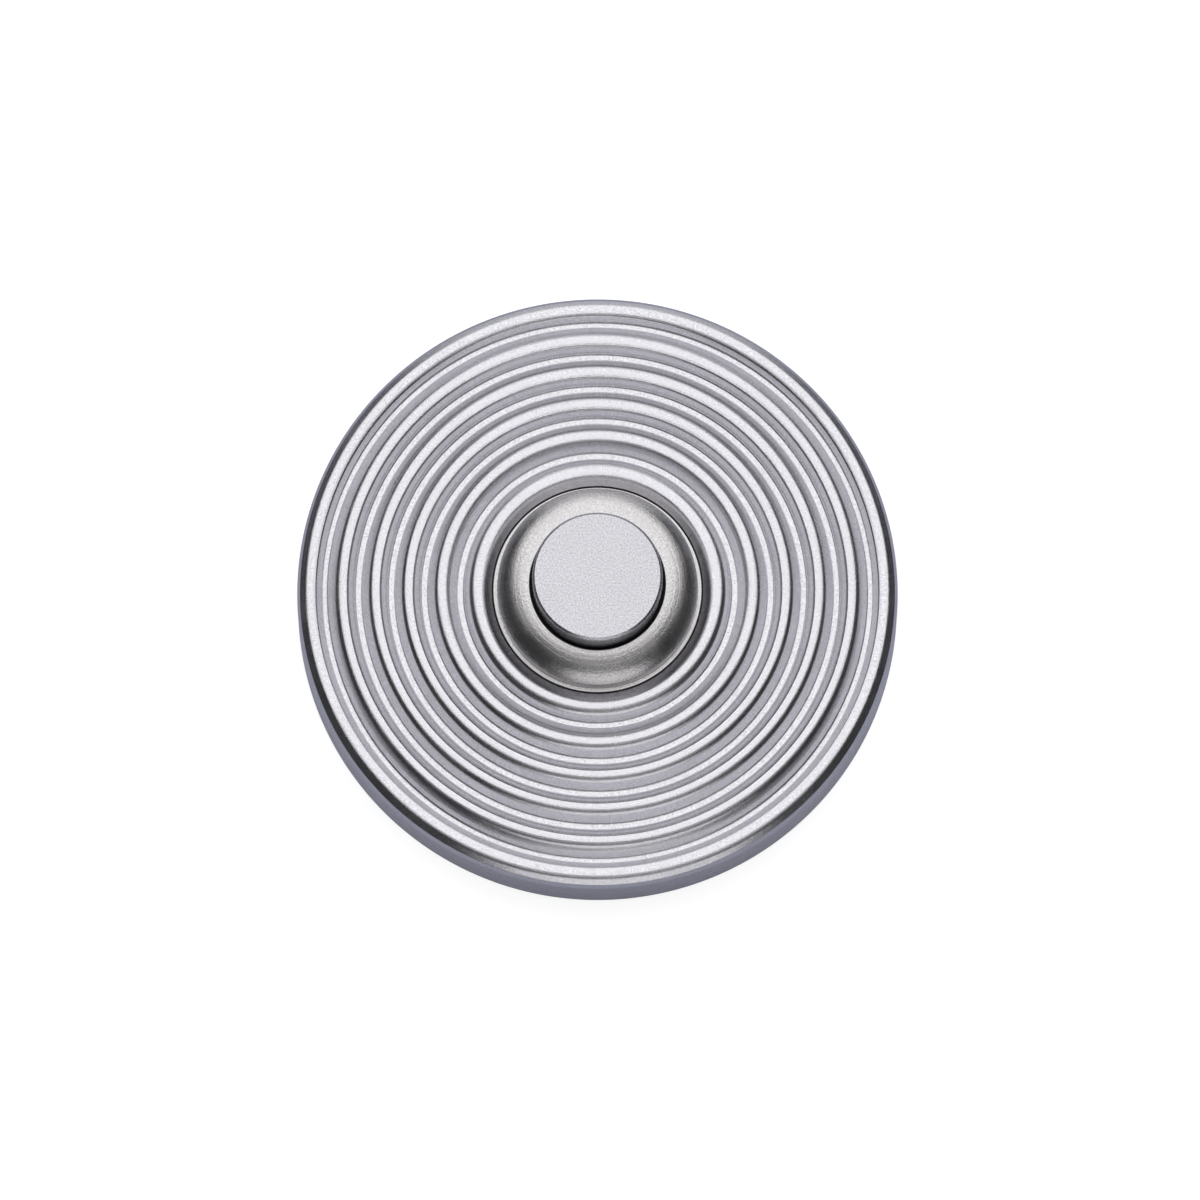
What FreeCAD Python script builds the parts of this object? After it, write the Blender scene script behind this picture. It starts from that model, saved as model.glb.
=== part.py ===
import FreeCAD, Part
import math
import os
import re

import Sketcher

# Doorbell push button: a round reeded rose screws down over a back plate and carries a domed
# collar with a sprung push. The push works a leaf contact in a moulded base behind the rose.
# Frame: +Z out of the wall along the push, +Y up the wall, origin at the middle of the wall face.
# All sizes are millimetres.

SIZES = {
    # Rose
    "rose_radius": 38.0,
    "rose_wall_taper": 0.3,
    "rose_skirt_wall": 3.3,
    "rose_shell_thickness": 2.0,
    "rim_crest_inset": 2.01,
    "rim_crest_drop": 0.6,
    "rim_flank_height": 1.2,
    "inner_crest_inset": 1.8,
    "inner_crest_gap": 4.53,
    "reed_pitch": 4.13,
    "reed_relief": 1.4,
    "rim_crest_share": 0.75,
    "crest_round_share": 0.66,
    "inner_crest_share": 0.83,
    "crest_shoulder_share": 0.45,
    "crest_shoulder_stand": 0.01,
    "rim_floor_share": 0.13,
    "trough_floor_share": 0.2,
    "rim_trough_shift": 0.285,
    "trough_shift_share": 0.09,
    # Collar
    "collar_seat_width": 2.08,
    "collar_seat_clearance": 0.07,
    "collar_lip_width": 0.38,
    "collar_lip_thickness": 0.5,
    "collar_dome_rise": 4.2,
    "collar_wall_height": 2.2,
    "collar_wall_draft": 0.08,
    "collar_shoulder_round": 5.7,
    "collar_shoulder_inset": 2.18,
    "collar_shoulder_drop": 0.52,
    "collar_crown_round": 7.69,
    "collar_crown_land": 0.15,
    "collar_crown_bevel": 0.2,
    "collar_ledge_thickness": 1.5,
    "collar_tail_wall": 1.7,
    "collar_tail_gap": 0.5,
    "collar_tail_overrun": 0.2,
    # Push button
    "button_radius": 8.1,
    "button_gap": 0.3,
    "button_projection": 4.5,
    "button_edge_bevel": 0.3,
    "button_flange_width": 1.05,
    "button_flange_thickness": 1.4,
    "button_flange_clearance": 0.15,
    "button_travel": 1.4,
    "spring_guide_inset": 2.4,
    "stem_radius": 2.4,
    "stem_length": 1.2,
    "spigot_radius": 1.5,
    "spigot_clearance": 0.05,
    "tip_floor": 0.8,
    "tip_edge_round": 0.4,
    # Running and seating clearances
    "stop_clearance": 0.05,
    "guide_clearance": 0.35,
    "thread_clearance": 0.1,
    "base_clearance": 0.2,
    # Lock washer and ring nut
    "lock_washer_thickness": 0.5,
    "lock_washer_width": 2.1,
    "lock_washer_notch": 0.8,
    "lock_washer_teeth": 12,
    "ring_nut_thickness": 1.6,
    "ring_nut_width": 2.2,
    "ring_nut_slot_width": 2.4,
    "ring_nut_slot_depth": 1.0,
    "ring_nut_slots": 4,
    # Return spring and what holds it in
    "spring_wire_radius": 0.35,
    "spring_clearance": 0.3,
    "spring_turns": 2.5,
    "spring_seat_thickness": 0.5,
    "retaining_ring_thickness": 0.6,
    "retaining_ring_depth": 0.9,
    "retaining_ring_gap": 3.2,
    "retaining_lug_radius": 1.1,
    "retaining_lug_hole": 0.5,
    "groove_depth": 0.6,
    "groove_margin": 0.8,
    # Back plate
    "plate_thickness": 2.0,
    "plate_edge_bevel": 0.4,
    "fixing_edge_distance": 5.1,
    "fixing_hole_radius": 2.2,
    "countersink_radius": 4.2,
    "countersink_depth": 1.4,
    # Contact base
    "base_recess": 0.4,
    "base_floor": 1.0,
    "base_wall": 1.0,
    "base_flange_width": 5.2,
    "base_flange_thickness": 1.6,
    "base_screw_hole_radius": 1.4,
    "terminal_pad_height": 0.6,
    "terminal_pad_radius": 3.4,
    "wire_hole_radius": 3.5,
    "wire_hole_margin": 3.3,
    # Contacts
    "leaf_thickness": 0.3,
    "leaf_width": 5.0,
    "leaf_end_margin": 2.5,
    "leaf_overhang": 4.0,
    "leaf_bend_radius": 0.3,
    "crank_margin": 0.4,
    "crank_run": 2.0,
    "dimple_depth": 0.4,
    "dimple_radius": 1.2,
    # Terminals
    "terminal_washer_radius": 2.7,
    "terminal_washer_thickness": 0.5,
    "terminal_hole_radius": 1.6,
    "terminal_head_radius": 2.3,
    "terminal_head_height": 1.4,
    "terminal_shank_radius": 1.4,
    "terminal_end_margin": 0.2,
    "insert_wall": 0.8,
    "insert_clearance": 0.05,
    "insert_floor": 0.3,
    # Screws that hold the contact base to the back plate
    "base_head_radius": 2.0,
    "base_head_height": 1.2,
    "base_shank_radius": 1.15,
    "base_end_margin": 0.3,
    # Screw slots
    "slot_width": 0.6,
    "slot_depth": 0.7,
}

# Places and sizes that follow from the driving sizes, each written as a formula of them
DERIVED = {
    # Heights, from the wall outward
    "floor_top": "base_recess + base_floor",
    "pad_top": "floor_top + terminal_pad_height",
    "base_flange_top": "plate_thickness + base_flange_thickness",
    "fixed_contact_top": "floor_top + leaf_thickness",
    "dimple_bottom": "fixed_contact_top + button_travel",
    "leaf_bottom": "dimple_bottom + dimple_depth",
    "leaf_top": "leaf_bottom + leaf_thickness",
    "tail_bottom": "leaf_top + collar_tail_gap",
    "nut_bottom": "tail_bottom + collar_tail_overrun",
    "nut_top": "nut_bottom + ring_nut_thickness",
    "face_underside": "nut_top + lock_washer_thickness",
    "trough_top": "face_underside + rose_shell_thickness",
    "crest_top": "trough_top + reed_relief",
    "rim_crest_top": "crest_top - rim_crest_drop",
    "rose_shoulder": "rim_crest_top - rim_flank_height",
    "collar_lip_top": "trough_top + collar_lip_thickness",
    "crown_top": "collar_lip_top + collar_dome_rise",
    "ledge_bottom": "crown_top - collar_ledge_thickness",
    "button_face": "crown_top + button_projection",
    "flange_top": "ledge_bottom - stop_clearance",
    "flange_bottom": "flange_top - button_flange_thickness",
    "groove_bottom": "tail_bottom + groove_margin",
    "groove_top": "groove_bottom + retaining_ring_thickness + stop_clearance",
    "spring_seat_bottom": "groove_bottom + retaining_ring_thickness",
    "spring_seat_top": "spring_seat_bottom + spring_seat_thickness",
    "guide_bottom": "spring_seat_top + button_travel + stop_clearance",
    "tip_top": "guide_bottom - stem_length",
    "tip_bottom": "leaf_top + stop_clearance",
    "tip_socket_bottom": "tip_bottom + tip_floor",
    "spigot_bottom": "tip_socket_bottom + spigot_clearance",
    # Radii of the push and collar, from the axis outward
    "collar_bore": "button_radius + button_gap",
    "flange_radius": "button_radius + button_flange_width",
    "collar_counterbore": "flange_radius + button_flange_clearance",
    "groove_radius": "collar_counterbore + groove_depth",
    "tail_radius": "collar_counterbore + collar_tail_wall",
    "collar_radius": "tail_radius + collar_seat_width",
    "collar_foot_radius": "collar_radius - collar_lip_width",
    "recess_radius": "collar_radius + collar_seat_clearance",
    "threaded_bore": "tail_radius + thread_clearance",
    "lock_washer_radius": "tail_radius + lock_washer_width",
    "ring_nut_radius": "tail_radius + ring_nut_width",
    "guide_radius": "button_radius - spring_guide_inset",
    "spring_mean_radius": "guide_radius + spring_clearance + spring_wire_radius",
    "spring_seat_bore": "stem_radius + guide_clearance",
    "spring_seat_radius": "collar_counterbore - thread_clearance",
    # Radii of the rose, plate and base, from the rim inward
    "rose_shoulder_radius": "rose_radius - rose_wall_taper",
    "rim_crest_radius": "rose_radius - rim_crest_inset",
    "inner_crest_radius": "recess_radius + inner_crest_inset",
    "last_reed_radius": "inner_crest_radius + inner_crest_gap",
    "skirt_bore": "rose_radius - rose_skirt_wall",
    "plate_radius": "skirt_bore - thread_clearance",
    "fixing_radius": "plate_radius - fixing_edge_distance",
    "base_flange_radius": "fixing_radius - countersink_radius - base_clearance",
    "base_cup_radius": "base_flange_radius - base_flange_width",
    "plate_opening": "base_cup_radius + base_clearance",
    "base_cavity_radius": "base_cup_radius - base_wall",
    "base_screw_radius": "base_cup_radius + base_flange_width / 2",
    "terminal_radius": "base_cavity_radius - terminal_washer_radius - base_clearance",
    "wire_hole_offset": "base_cavity_radius - wire_hole_radius - wire_hole_margin",
    # Terminals and screws
    "leaf_end": "terminal_radius + leaf_end_margin",
    "crank_outer": "terminal_radius - terminal_pad_radius - crank_margin",
    "crank_inner": "crank_outer - crank_run",
    "insert_bore": "terminal_shank_radius + thread_clearance",
    "insert_radius": "insert_bore + insert_wall",
    "insert_bottom": "base_recess + insert_floor",
    "washer_bottom": "pad_top + leaf_thickness",
    "terminal_seat": "washer_bottom + terminal_washer_thickness",
    "terminal_shank_length": "terminal_seat - insert_bottom - terminal_end_margin",
    "base_shank_length": "base_flange_top - base_end_margin",
    "base_screw_thread_radius": "base_shank_radius + thread_clearance",
}

DOCUMENT = FreeCAD.newDocument("DoorbellPush")
SHEET = DOCUMENT.addObject("Spreadsheet::Sheet", "Sizes")


def fill_sheet():
    """Put every driving size in the sheet as plain text and give it its alias."""
    for row, (alias, value) in enumerate(SIZES.items(), start=1):
        SHEET.set(f"A{row}", alias.replace("_", " "))
        SHEET.set(f"B{row}", str(value))
        SHEET.setAlias(f"B{row}", alias)
    DOCUMENT.recompute()


def formula(text):
    """Return the sheet expression for a formula written with size names."""

    def spell(match):
        word = match.group(0)
        if word in SIZES:
            return f"Sizes.{word}"
        if word in DERIVED:
            return f"({formula(DERIVED[word])})"
        return word

    return re.sub(r"[a-z_]+", spell, text)


def value_of(text):
    """Return the number that a formula stands for."""
    return float(SHEET.evalExpression(formula(text)))


def bind(item, path, text):
    """Bind one property of a document object to a formula."""
    item.setExpression(path, formula(text))


def new_body(label):
    """Make an empty body whose label names the sub-part."""
    body = DOCUMENT.addObject("PartDesign::Body", label)
    body.Label = label
    return body


def origin_item(body, role):
    """Return the body's own origin plane or axis with this role."""
    return next(item for item in body.Origin.OriginFeatures if item.Role == role)


def new_sketch(body, name, role, offset="0"):
    """Attach a sketch to an origin plane of its own body, moved along the plane's normal."""
    sketch = body.newObject("Sketcher::SketchObject", name)
    sketch.AttachmentSupport = [(origin_item(body, role), "")]
    sketch.MapMode = "FlatFace"
    bind(sketch, "AttachmentOffset.Base.z", offset)
    return sketch


# Outlines. A step is a plain corner, a corner that an arc leaves, or a round that the lines
# beside it touch as tangents. Arcs and rounds with a positive radius turn left.


def corner(across, up):
    """A sharp corner of an outline."""
    return ("corner", across, up, "0")


def arc_from(across, up, radius):
    """A corner from which an arc leads to the next corner."""
    return ("arc", across, up, radius)


def round_at(across, up, radius):
    """A tangent round whose centre is the given point."""
    return ("round", across, up, radius)


def tangent_line(first, first_radius, second, second_radius):
    """Return the ends of the line that runs tangent from one directed circle to the next."""
    span = second - first
    heading = math.atan2(span.y, span.x) + math.asin((first_radius - second_radius) / span.Length)
    right = FreeCAD.Vector(math.sin(heading), -math.cos(heading), 0)
    return first + right * first_radius, second + right * second_radius


def arc_between(centre, begin, end, radius):
    """Return a circular arc and the numbers of the ends where it begins and ends."""
    circle = Part.Circle(centre, FreeCAD.Vector(0, 0, 1), abs(radius))
    angles = [math.atan2(point.y - centre.y, point.x - centre.x) for point in (begin, end)]
    if radius > 0:
        return Part.ArcOfCircle(circle, angles[0], angles[1]), 1, 2
    return Part.ArcOfCircle(circle, angles[1], angles[0]), 2, 1


def bulge_centre(begin, end, radius):
    """Return the centre of the arc of this signed radius between two corners."""
    chord = end - begin
    left = FreeCAD.Vector(-chord.y, chord.x, 0).normalize()
    rise = math.sqrt(radius**2 - (chord.Length / 2) ** 2)
    return (begin + end) * 0.5 + left * math.copysign(rise, radius)


def bind_constraint(sketch, constraint, text):
    """Add a constraint and bind its value to a formula."""
    index = sketch.addConstraint(constraint)
    bind(sketch, f"Constraints[{index}]", text)


def bind_point(sketch, geometry, position, across, up):
    """Hold a point of the sketch at a place that follows the sizes."""
    for kind, axis, text in (("DistanceX", -2, across), ("DistanceY", -1, up)):
        if value_of(text) == 0:
            sketch.addConstraint(Sketcher.Constraint("PointOnObject", geometry, position, axis))
        else:
            pull = Sketcher.Constraint(kind, -1, 1, geometry, position, value_of(text))
            bind_constraint(sketch, pull, text)


def draw_outline(sketch, steps):
    """Draw a closed outline through the steps and bind each corner, arc and round to the sizes."""
    kinds = [step[0] for step in steps]
    points = [FreeCAD.Vector(value_of(step[1]), value_of(step[2]), 0) for step in steps]
    radii = [value_of(step[3]) for step in steps]
    runs = []
    for here, kind in enumerate(kinds):
        there = (here + 1) % len(steps)
        if kind == "arc":
            runs.append((points[here], points[there]))
        else:
            spins = [radii[i] if kinds[i] == "round" else 0 for i in (here, there)]
            runs.append(tangent_line(points[here], spins[0], points[there], spins[1]))
    pieces = []
    for here, kind in enumerate(kinds):
        begin, end = runs[here]
        if kind == "round":
            arc = arc_between(points[here], runs[here - 1][1], begin, radii[here])
            pieces.append((*arc, here, True))
        if kind == "arc":
            arc = arc_between(bulge_centre(begin, end, radii[here]), begin, end, radii[here])
            pieces.append((*arc, here, False))
        else:
            pieces.append((Part.LineSegment(begin, end), 1, 2, here, False))
    sketch.addGeometry([piece[0] for piece in pieces], False)
    for index, (shape, begins, ends, here, rounded) in enumerate(pieces):
        following = (index + 1) % len(pieces)
        smooth = rounded or pieces[following][4]
        join = "Tangent" if smooth else "Coincident"
        sketch.addConstraint(Sketcher.Constraint(join, index, ends, following, pieces[following][1]))
        step = steps[here]
        if isinstance(shape, Part.ArcOfCircle):
            size = Sketcher.Constraint("Radius", index, abs(radii[here]))
            bind_constraint(sketch, size, f"abs({step[3]})")
        if rounded:
            bind_point(sketch, index, 3, step[1], step[2])
        elif kinds[here] != "round":
            bind_point(sketch, index, begins, step[1], step[2])


def draw_circle(sketch, across, up, radius):
    """Draw a circle and bind its centre and radius."""
    centre = FreeCAD.Vector(value_of(across), value_of(up), 0)
    circle = Part.Circle(centre, FreeCAD.Vector(0, 0, 1), value_of(radius))
    index = sketch.addGeometry(circle, False)
    bind_constraint(sketch, Sketcher.Constraint("Radius", index, value_of(radius)), radius)
    bind_point(sketch, index, 3, across, up)


def rectangle(low_across, high_across, low_up, high_up):
    """Return the four corners of a rectangle as outline steps."""
    return [
        corner(low_across, low_up),
        corner(high_across, low_up),
        corner(high_across, high_up),
        corner(low_across, high_up),
    ]


# Features


def turn(body, name, steps):
    """Revolve an outline of radius and height about the body's Z axis."""
    sketch = new_sketch(body, f"{name}_outline", "XZ_Plane")
    draw_outline(sketch, steps)
    feature = body.newObject("PartDesign::Revolution", name)
    feature.Profile = sketch
    feature.ReferenceAxis = (sketch, ["V_Axis"])
    feature.Angle = 360
    sketch.Visibility = False
    return feature


def turned_groove(body, name, steps, axis_across):
    """Cut an outline that turns about a line parallel to Z at the given distance across."""
    sketch = new_sketch(body, f"{name}_outline", "XZ_Plane")
    draw_outline(sketch, steps)
    place = value_of(axis_across)
    line = Part.LineSegment(FreeCAD.Vector(place, 0, 0), FreeCAD.Vector(place, 1, 0))
    index = sketch.addGeometry(line, True)
    bind_point(sketch, index, 1, axis_across, "0")
    bind_point(sketch, index, 2, axis_across, "1")
    feature = body.newObject("PartDesign::Groove", name)
    feature.Profile = sketch
    feature.ReferenceAxis = (sketch, ["Axis0"])
    feature.Angle = 360
    return feature


def pad(body, name, sketch, length):
    """Raise a sketch by a length along its normal."""
    feature = body.newObject("PartDesign::Pad", name)
    feature.Profile = sketch
    bind(feature, "Length", length)
    return feature


def pocket(body, name, sketch, depth):
    """Cut a sketch by a depth against its normal and make sure that it takes material away."""
    DOCUMENT.recompute()
    before = body.Shape.Volume
    feature = body.newObject("PartDesign::Pocket", name)
    feature.Profile = sketch
    bind(feature, "Length", depth)
    DOCUMENT.recompute()
    if feature.Shape.Volume >= before:
        raise ValueError(f"{body.Label}: {name} cuts nothing")
    return feature


def repeat_round(body, name, feature, count):
    """Repeat a feature evenly about the body's Z axis."""
    pattern = body.newObject("PartDesign::PolarPattern", name)
    pattern.Originals = [feature]
    pattern.Axis = (origin_item(body, "Z_Axis"), [""])
    pattern.Angle = 360
    bind(pattern, "Occurrences", count)
    body.Tip = pattern
    return pattern


def ring(label, bore, radius, bottom, top):
    """Make a flat ring between two radii and two heights."""
    body = new_body(label)
    turn(body, f"{label}_ring", rectangle(bore, radius, bottom, top))
    return body


def place(body, across="0", up="0", out="0"):
    """Move a finished body to its place on the product."""
    for axis, text in (("x", across), ("y", up), ("z", out)):
        bind(body, f"Placement.Base.{axis}", text)
    return body


# Rose and collar


def fullest_round(room, drop):
    """Return the radius of a crest's round that just reaches a corner this far across and down."""
    return f"((({room})^2 + ({drop})^2) / (2 * ({drop})))"


def reed_steps():
    """Return the crests and troughs of the reeded face, from the rim inward.

    The reeds share the width between the rim and the last reed evenly, at about the reed pitch,
    and a slightly wider trough sets them off from the crest beside the collar. A crest is round
    on its outward side and breaks into its inward flank at a shoulder. A trough has a flat floor
    that lies a little nearer its outward crest.
    """
    width = "(rim_crest_radius - last_reed_radius)"
    gaps = max(1, round(value_of(f"{width} / reed_pitch")))
    half_pitch = f"({width} / {2 * gaps})"
    crests = [f"(rim_crest_radius - {width} * {reed} / {gaps})" for reed in range(gaps + 1)]
    floors = [f"(rim_floor_share * {half_pitch})"]
    floors += [f"(trough_floor_share * {half_pitch})"] * gaps
    shifts = ["rim_trough_shift"] + [f"(trough_shift_share * {half_pitch})"] * (gaps - 1) + ["0"]
    rim_outside = fullest_round("rose_shoulder_radius - rim_crest_radius", "rim_flank_height")
    rim_inside = fullest_round(
        f"{half_pitch} - rim_trough_shift - {floors[0]}", "reed_relief - rim_crest_drop"
    )
    inner_room = fullest_round(f"inner_crest_gap / 2 - {floors[-1]}", "reed_relief")
    rounds = [f"(rim_crest_share * min({rim_outside}; {rim_inside}))"]
    rounds += [f"(crest_round_share * {half_pitch})"] * gaps
    steps = []
    for number, across in enumerate(crests):
        top = "crest_top" if number else "rim_crest_top"
        centre_up = f"({top} - {rounds[number]})"
        steps.append(round_at(across, centre_up, rounds[number]))
        if number < gaps:
            shoulder = f"({rounds[number]} + crest_shoulder_stand)"
            rise = f"sqrt(1 - crest_shoulder_share^2) * {shoulder}"
            inward = f"{across} - crest_shoulder_share * {shoulder}"
            steps.append(corner(inward, f"{centre_up} + {rise}"))
        following = crests[number + 1] if number < gaps else "inner_crest_radius"
        middle = f"(({across} + {following}) / 2 + {shifts[number]})"
        steps.append(corner(f"{middle} + {floors[number]}", "trough_top"))
        steps.append(corner(f"{middle} - {floors[number]}", "trough_top"))
    inner_round = f"(inner_crest_share * {inner_room})"
    steps.append(round_at("inner_crest_radius", f"crest_top - {inner_round}", inner_round))
    return steps


def build_rose():
    """The reeded face with its skirt, threaded inside for the back plate."""
    body = new_body("rose")
    outside = [
        corner("rose_radius", "0"),
        corner("rose_shoulder_radius", "rose_shoulder"),
    ]
    inside = [
        corner("recess_radius", "collar_lip_top"),
        corner("recess_radius", "trough_top"),
        corner("threaded_bore", "trough_top"),
        corner("threaded_bore", "face_underside"),
        corner("skirt_bore", "face_underside"),
        corner("skirt_bore", "0"),
    ]
    turn(body, "reeded_face", outside + reed_steps() + inside)
    return body


def build_collar():
    """The domed collar whose threaded tail goes through the rose and holds the push."""
    body = new_body("collar")
    steps = [
        corner("collar_counterbore", "tail_bottom"),
        corner("tail_radius", "tail_bottom"),
        corner("tail_radius", "trough_top"),
        corner("collar_radius", "trough_top"),
        corner("collar_radius", "collar_lip_top"),
        corner("collar_foot_radius", "collar_lip_top"),
        arc_from(
            "collar_foot_radius - collar_wall_draft",
            "collar_lip_top + collar_wall_height",
            "collar_shoulder_round",
        ),
        arc_from(
            "collar_foot_radius - collar_shoulder_inset",
            "crown_top - collar_shoulder_drop",
            "collar_crown_round",
        ),
        corner("collar_bore + collar_crown_land", "crown_top"),
        corner("collar_bore", "crown_top - collar_crown_bevel"),
        corner("collar_bore", "ledge_bottom"),
        corner("collar_counterbore", "ledge_bottom"),
        corner("collar_counterbore", "groove_top"),
        corner("groove_radius", "groove_top"),
        corner("groove_radius", "groove_bottom"),
        corner("collar_counterbore", "groove_bottom"),
    ]
    turn(body, "domed_collar", steps)
    return body


def notched_ring(label, radius, bottom, top, notch, depth, count):
    """A ring on the collar's tail with square notches round its edge."""
    body = ring(label, "threaded_bore", radius, bottom, top)
    sketch = new_sketch(body, f"{label}_notch", "XY_Plane", top)
    sides = (f"{radius} - {depth}", f"{radius} + {depth}", f"-{notch} / 2", f"{notch} / 2")
    draw_outline(sketch, rectangle(*sides))
    cut = pocket(body, f"{label}_first_notch", sketch, f"({top}) - ({bottom})")
    repeat_round(body, f"{label}_notches", cut, count)
    return body


def build_lock_washer():
    """The toothed washer under the ring nut."""
    return notched_ring(
        "lock_washer",
        "lock_washer_radius",
        "nut_top",
        "face_underside",
        "lock_washer_notch",
        "lock_washer_notch",
        "lock_washer_teeth",
    )


def build_ring_nut():
    """The slotted ring nut that draws the collar down on the rose."""
    return notched_ring(
        "ring_nut",
        "ring_nut_radius",
        "nut_bottom",
        "nut_top",
        "ring_nut_slot_width",
        "ring_nut_slot_depth",
        "ring_nut_slots",
    )


# Push


def build_push_button():
    """The turned push: flat face, stop flange, spring guide, stem and spigot in one piece."""
    body = new_body("push_button")
    steps = [
        corner("0", "spigot_bottom"),
        corner("spigot_radius", "spigot_bottom"),
        corner("spigot_radius", "tip_top"),
        corner("stem_radius", "tip_top"),
        corner("stem_radius", "guide_bottom"),
        corner("guide_radius", "guide_bottom"),
        corner("guide_radius", "flange_bottom"),
        corner("flange_radius", "flange_bottom"),
        corner("flange_radius", "flange_top"),
        corner("button_radius", "flange_top"),
        corner("button_radius", "button_face - button_edge_bevel"),
        corner("button_radius - button_edge_bevel", "button_face"),
        corner("0", "button_face"),
    ]
    turn(body, "turned_push", steps)
    return body


def build_plunger_tip():
    """The insulating cap on the spigot, which presses on the leaf contact."""
    body = new_body("plunger_tip")
    steps = [
        corner("0", "tip_bottom"),
        corner("stem_radius - tip_edge_round", "tip_bottom"),
        corner("stem_radius", "tip_bottom + tip_edge_round"),
        corner("stem_radius", "tip_top"),
        corner("spigot_radius + spigot_clearance", "tip_top"),
        corner("spigot_radius + spigot_clearance", "tip_socket_bottom"),
        corner("0", "tip_socket_bottom"),
    ]
    turn(body, "tip_cap", steps)
    return body


def build_return_spring():
    """The compression spring between its seat and the push's flange.

    Its round wire is drawn with eight flats, the lowest on the seat and the highest under the push.
    """
    body = new_body("return_spring")
    sketch = new_sketch(body, "spring_wire", "XZ_Plane")
    steps = []
    for flat in range(8):
        angle = math.pi * (2 * flat + 1) / 8
        reach = 1 / math.cos(math.pi / 8)
        across = f"spring_mean_radius + spring_wire_radius * ({reach * math.cos(angle):.6f})"
        rise = f"spring_wire_radius * ({1 + reach * math.sin(angle):.6f})"
        steps.append(corner(across, f"spring_seat_top + {rise}"))
    draw_outline(sketch, steps)
    coil = body.newObject("PartDesign::AdditiveHelix", "spring_coil")
    coil.Profile = sketch
    coil.ReferenceAxis = (sketch, ["V_Axis"])
    coil.Mode = "height-turns-angle"
    bind(coil, "Height", "flange_bottom - spring_seat_top - 2 * spring_wire_radius")
    bind(coil, "Turns", "spring_turns")
    return body


def build_spring_seat():
    """The flat washer that the spring stands on."""
    return ring(
        "spring_seat",
        "spring_seat_bore",
        "spring_seat_radius",
        "spring_seat_bottom",
        "spring_seat_top",
    )


def build_retaining_ring():
    """The sprung ring in the collar's groove, open between two drilled lugs."""
    label = "retaining_ring"
    body = ring(
        label,
        "collar_counterbore - retaining_ring_depth",
        "groove_radius - stop_clearance",
        "groove_bottom",
        "spring_seat_bottom",
    )
    lug_across = "(retaining_ring_gap / 2 + retaining_lug_radius)"
    lug_up = "-(collar_counterbore - retaining_ring_depth - retaining_lug_radius / 2)"
    sides = (f"-{lug_across}", lug_across)
    lugs = new_sketch(body, "lugs", "XY_Plane", "groove_bottom")
    for side in sides:
        draw_circle(lugs, side, lug_up, "retaining_lug_radius")
    pad(body, "lug_pads", lugs, "retaining_ring_thickness")
    gap = new_sketch(body, "opening", "XY_Plane", "spring_seat_bottom")
    half = "retaining_ring_gap / 2"
    draw_outline(gap, rectangle(f"-{half}", half, "-groove_radius - 1", "-spring_mean_radius"))
    pocket(body, "ring_opening", gap, "retaining_ring_thickness")
    holes = new_sketch(body, "lug_holes", "XY_Plane", "spring_seat_bottom")
    for side in sides:
        draw_circle(holes, side, lug_up, "retaining_lug_hole")
    pocket(body, "plier_holes", holes, "retaining_ring_thickness")
    return body


# Back plate and contact base


def build_back_plate():
    """The plate on the wall: threaded edge, wide opening and two countersunk fixing holes."""
    body = new_body("back_plate")
    steps = [
        corner("plate_opening", "0"),
        corner("plate_radius", "0"),
        corner("plate_radius", "plate_thickness - plate_edge_bevel"),
        corner("plate_radius - plate_edge_bevel", "plate_thickness"),
        corner("plate_opening", "plate_thickness"),
    ]
    turn(body, "plate_ring", steps)
    neck = "plate_thickness - countersink_depth"
    hole = [
        corner("fixing_radius", "0"),
        corner("fixing_radius + fixing_hole_radius", "0"),
        corner("fixing_radius + fixing_hole_radius", neck),
        corner("fixing_radius + countersink_radius", "plate_thickness"),
        corner("fixing_radius", "plate_thickness"),
    ]
    cut = turned_groove(body, "fixing_hole", hole, "fixing_radius")
    repeat_round(body, "fixing_holes", cut, "2")
    taps = new_sketch(body, "base_screw_taps", "XY_Plane", "plate_thickness")
    for side in ("", "-"):
        draw_circle(taps, "0", f"{side}base_screw_radius", "base_screw_thread_radius")
    pocket(body, "tapped_holes", taps, "plate_thickness")
    return body


def build_contact_base():
    """The moulded cup behind the push, with terminal pads, screw holes and a wire entry."""
    body = new_body("contact_base")
    steps = [
        corner("0", "base_recess"),
        corner("base_cup_radius", "base_recess"),
        corner("base_cup_radius", "plate_thickness"),
        corner("base_flange_radius", "plate_thickness"),
        corner("base_flange_radius", "base_flange_top"),
        corner("base_cavity_radius", "base_flange_top"),
        corner("base_cavity_radius", "floor_top"),
        corner("0", "floor_top"),
    ]
    turn(body, "moulded_cup", steps)
    pads = new_sketch(body, "pads", "XY_Plane", "floor_top")
    for side in ("", "-"):
        draw_circle(pads, f"{side}terminal_radius", "0", "terminal_pad_radius")
    pad(body, "terminal_pads", pads, "terminal_pad_height")
    sockets = new_sketch(body, "sockets", "XY_Plane", "pad_top")
    for side in ("", "-"):
        draw_circle(sockets, f"{side}terminal_radius", "0", "insert_radius + insert_clearance")
    pocket(body, "insert_sockets", sockets, "pad_top - insert_bottom")
    holes = new_sketch(body, "flange_holes", "XY_Plane", "base_flange_top")
    for side in ("", "-"):
        draw_circle(holes, "0", f"{side}base_screw_radius", "base_screw_hole_radius")
    pocket(body, "screw_holes", holes, "base_flange_thickness")
    entry = new_sketch(body, "entry", "XY_Plane", "floor_top")
    draw_circle(entry, "0", "-wire_hole_offset", "wire_hole_radius")
    pocket(body, "wire_entry", entry, "base_floor")
    return body


# Contacts and terminals


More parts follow.
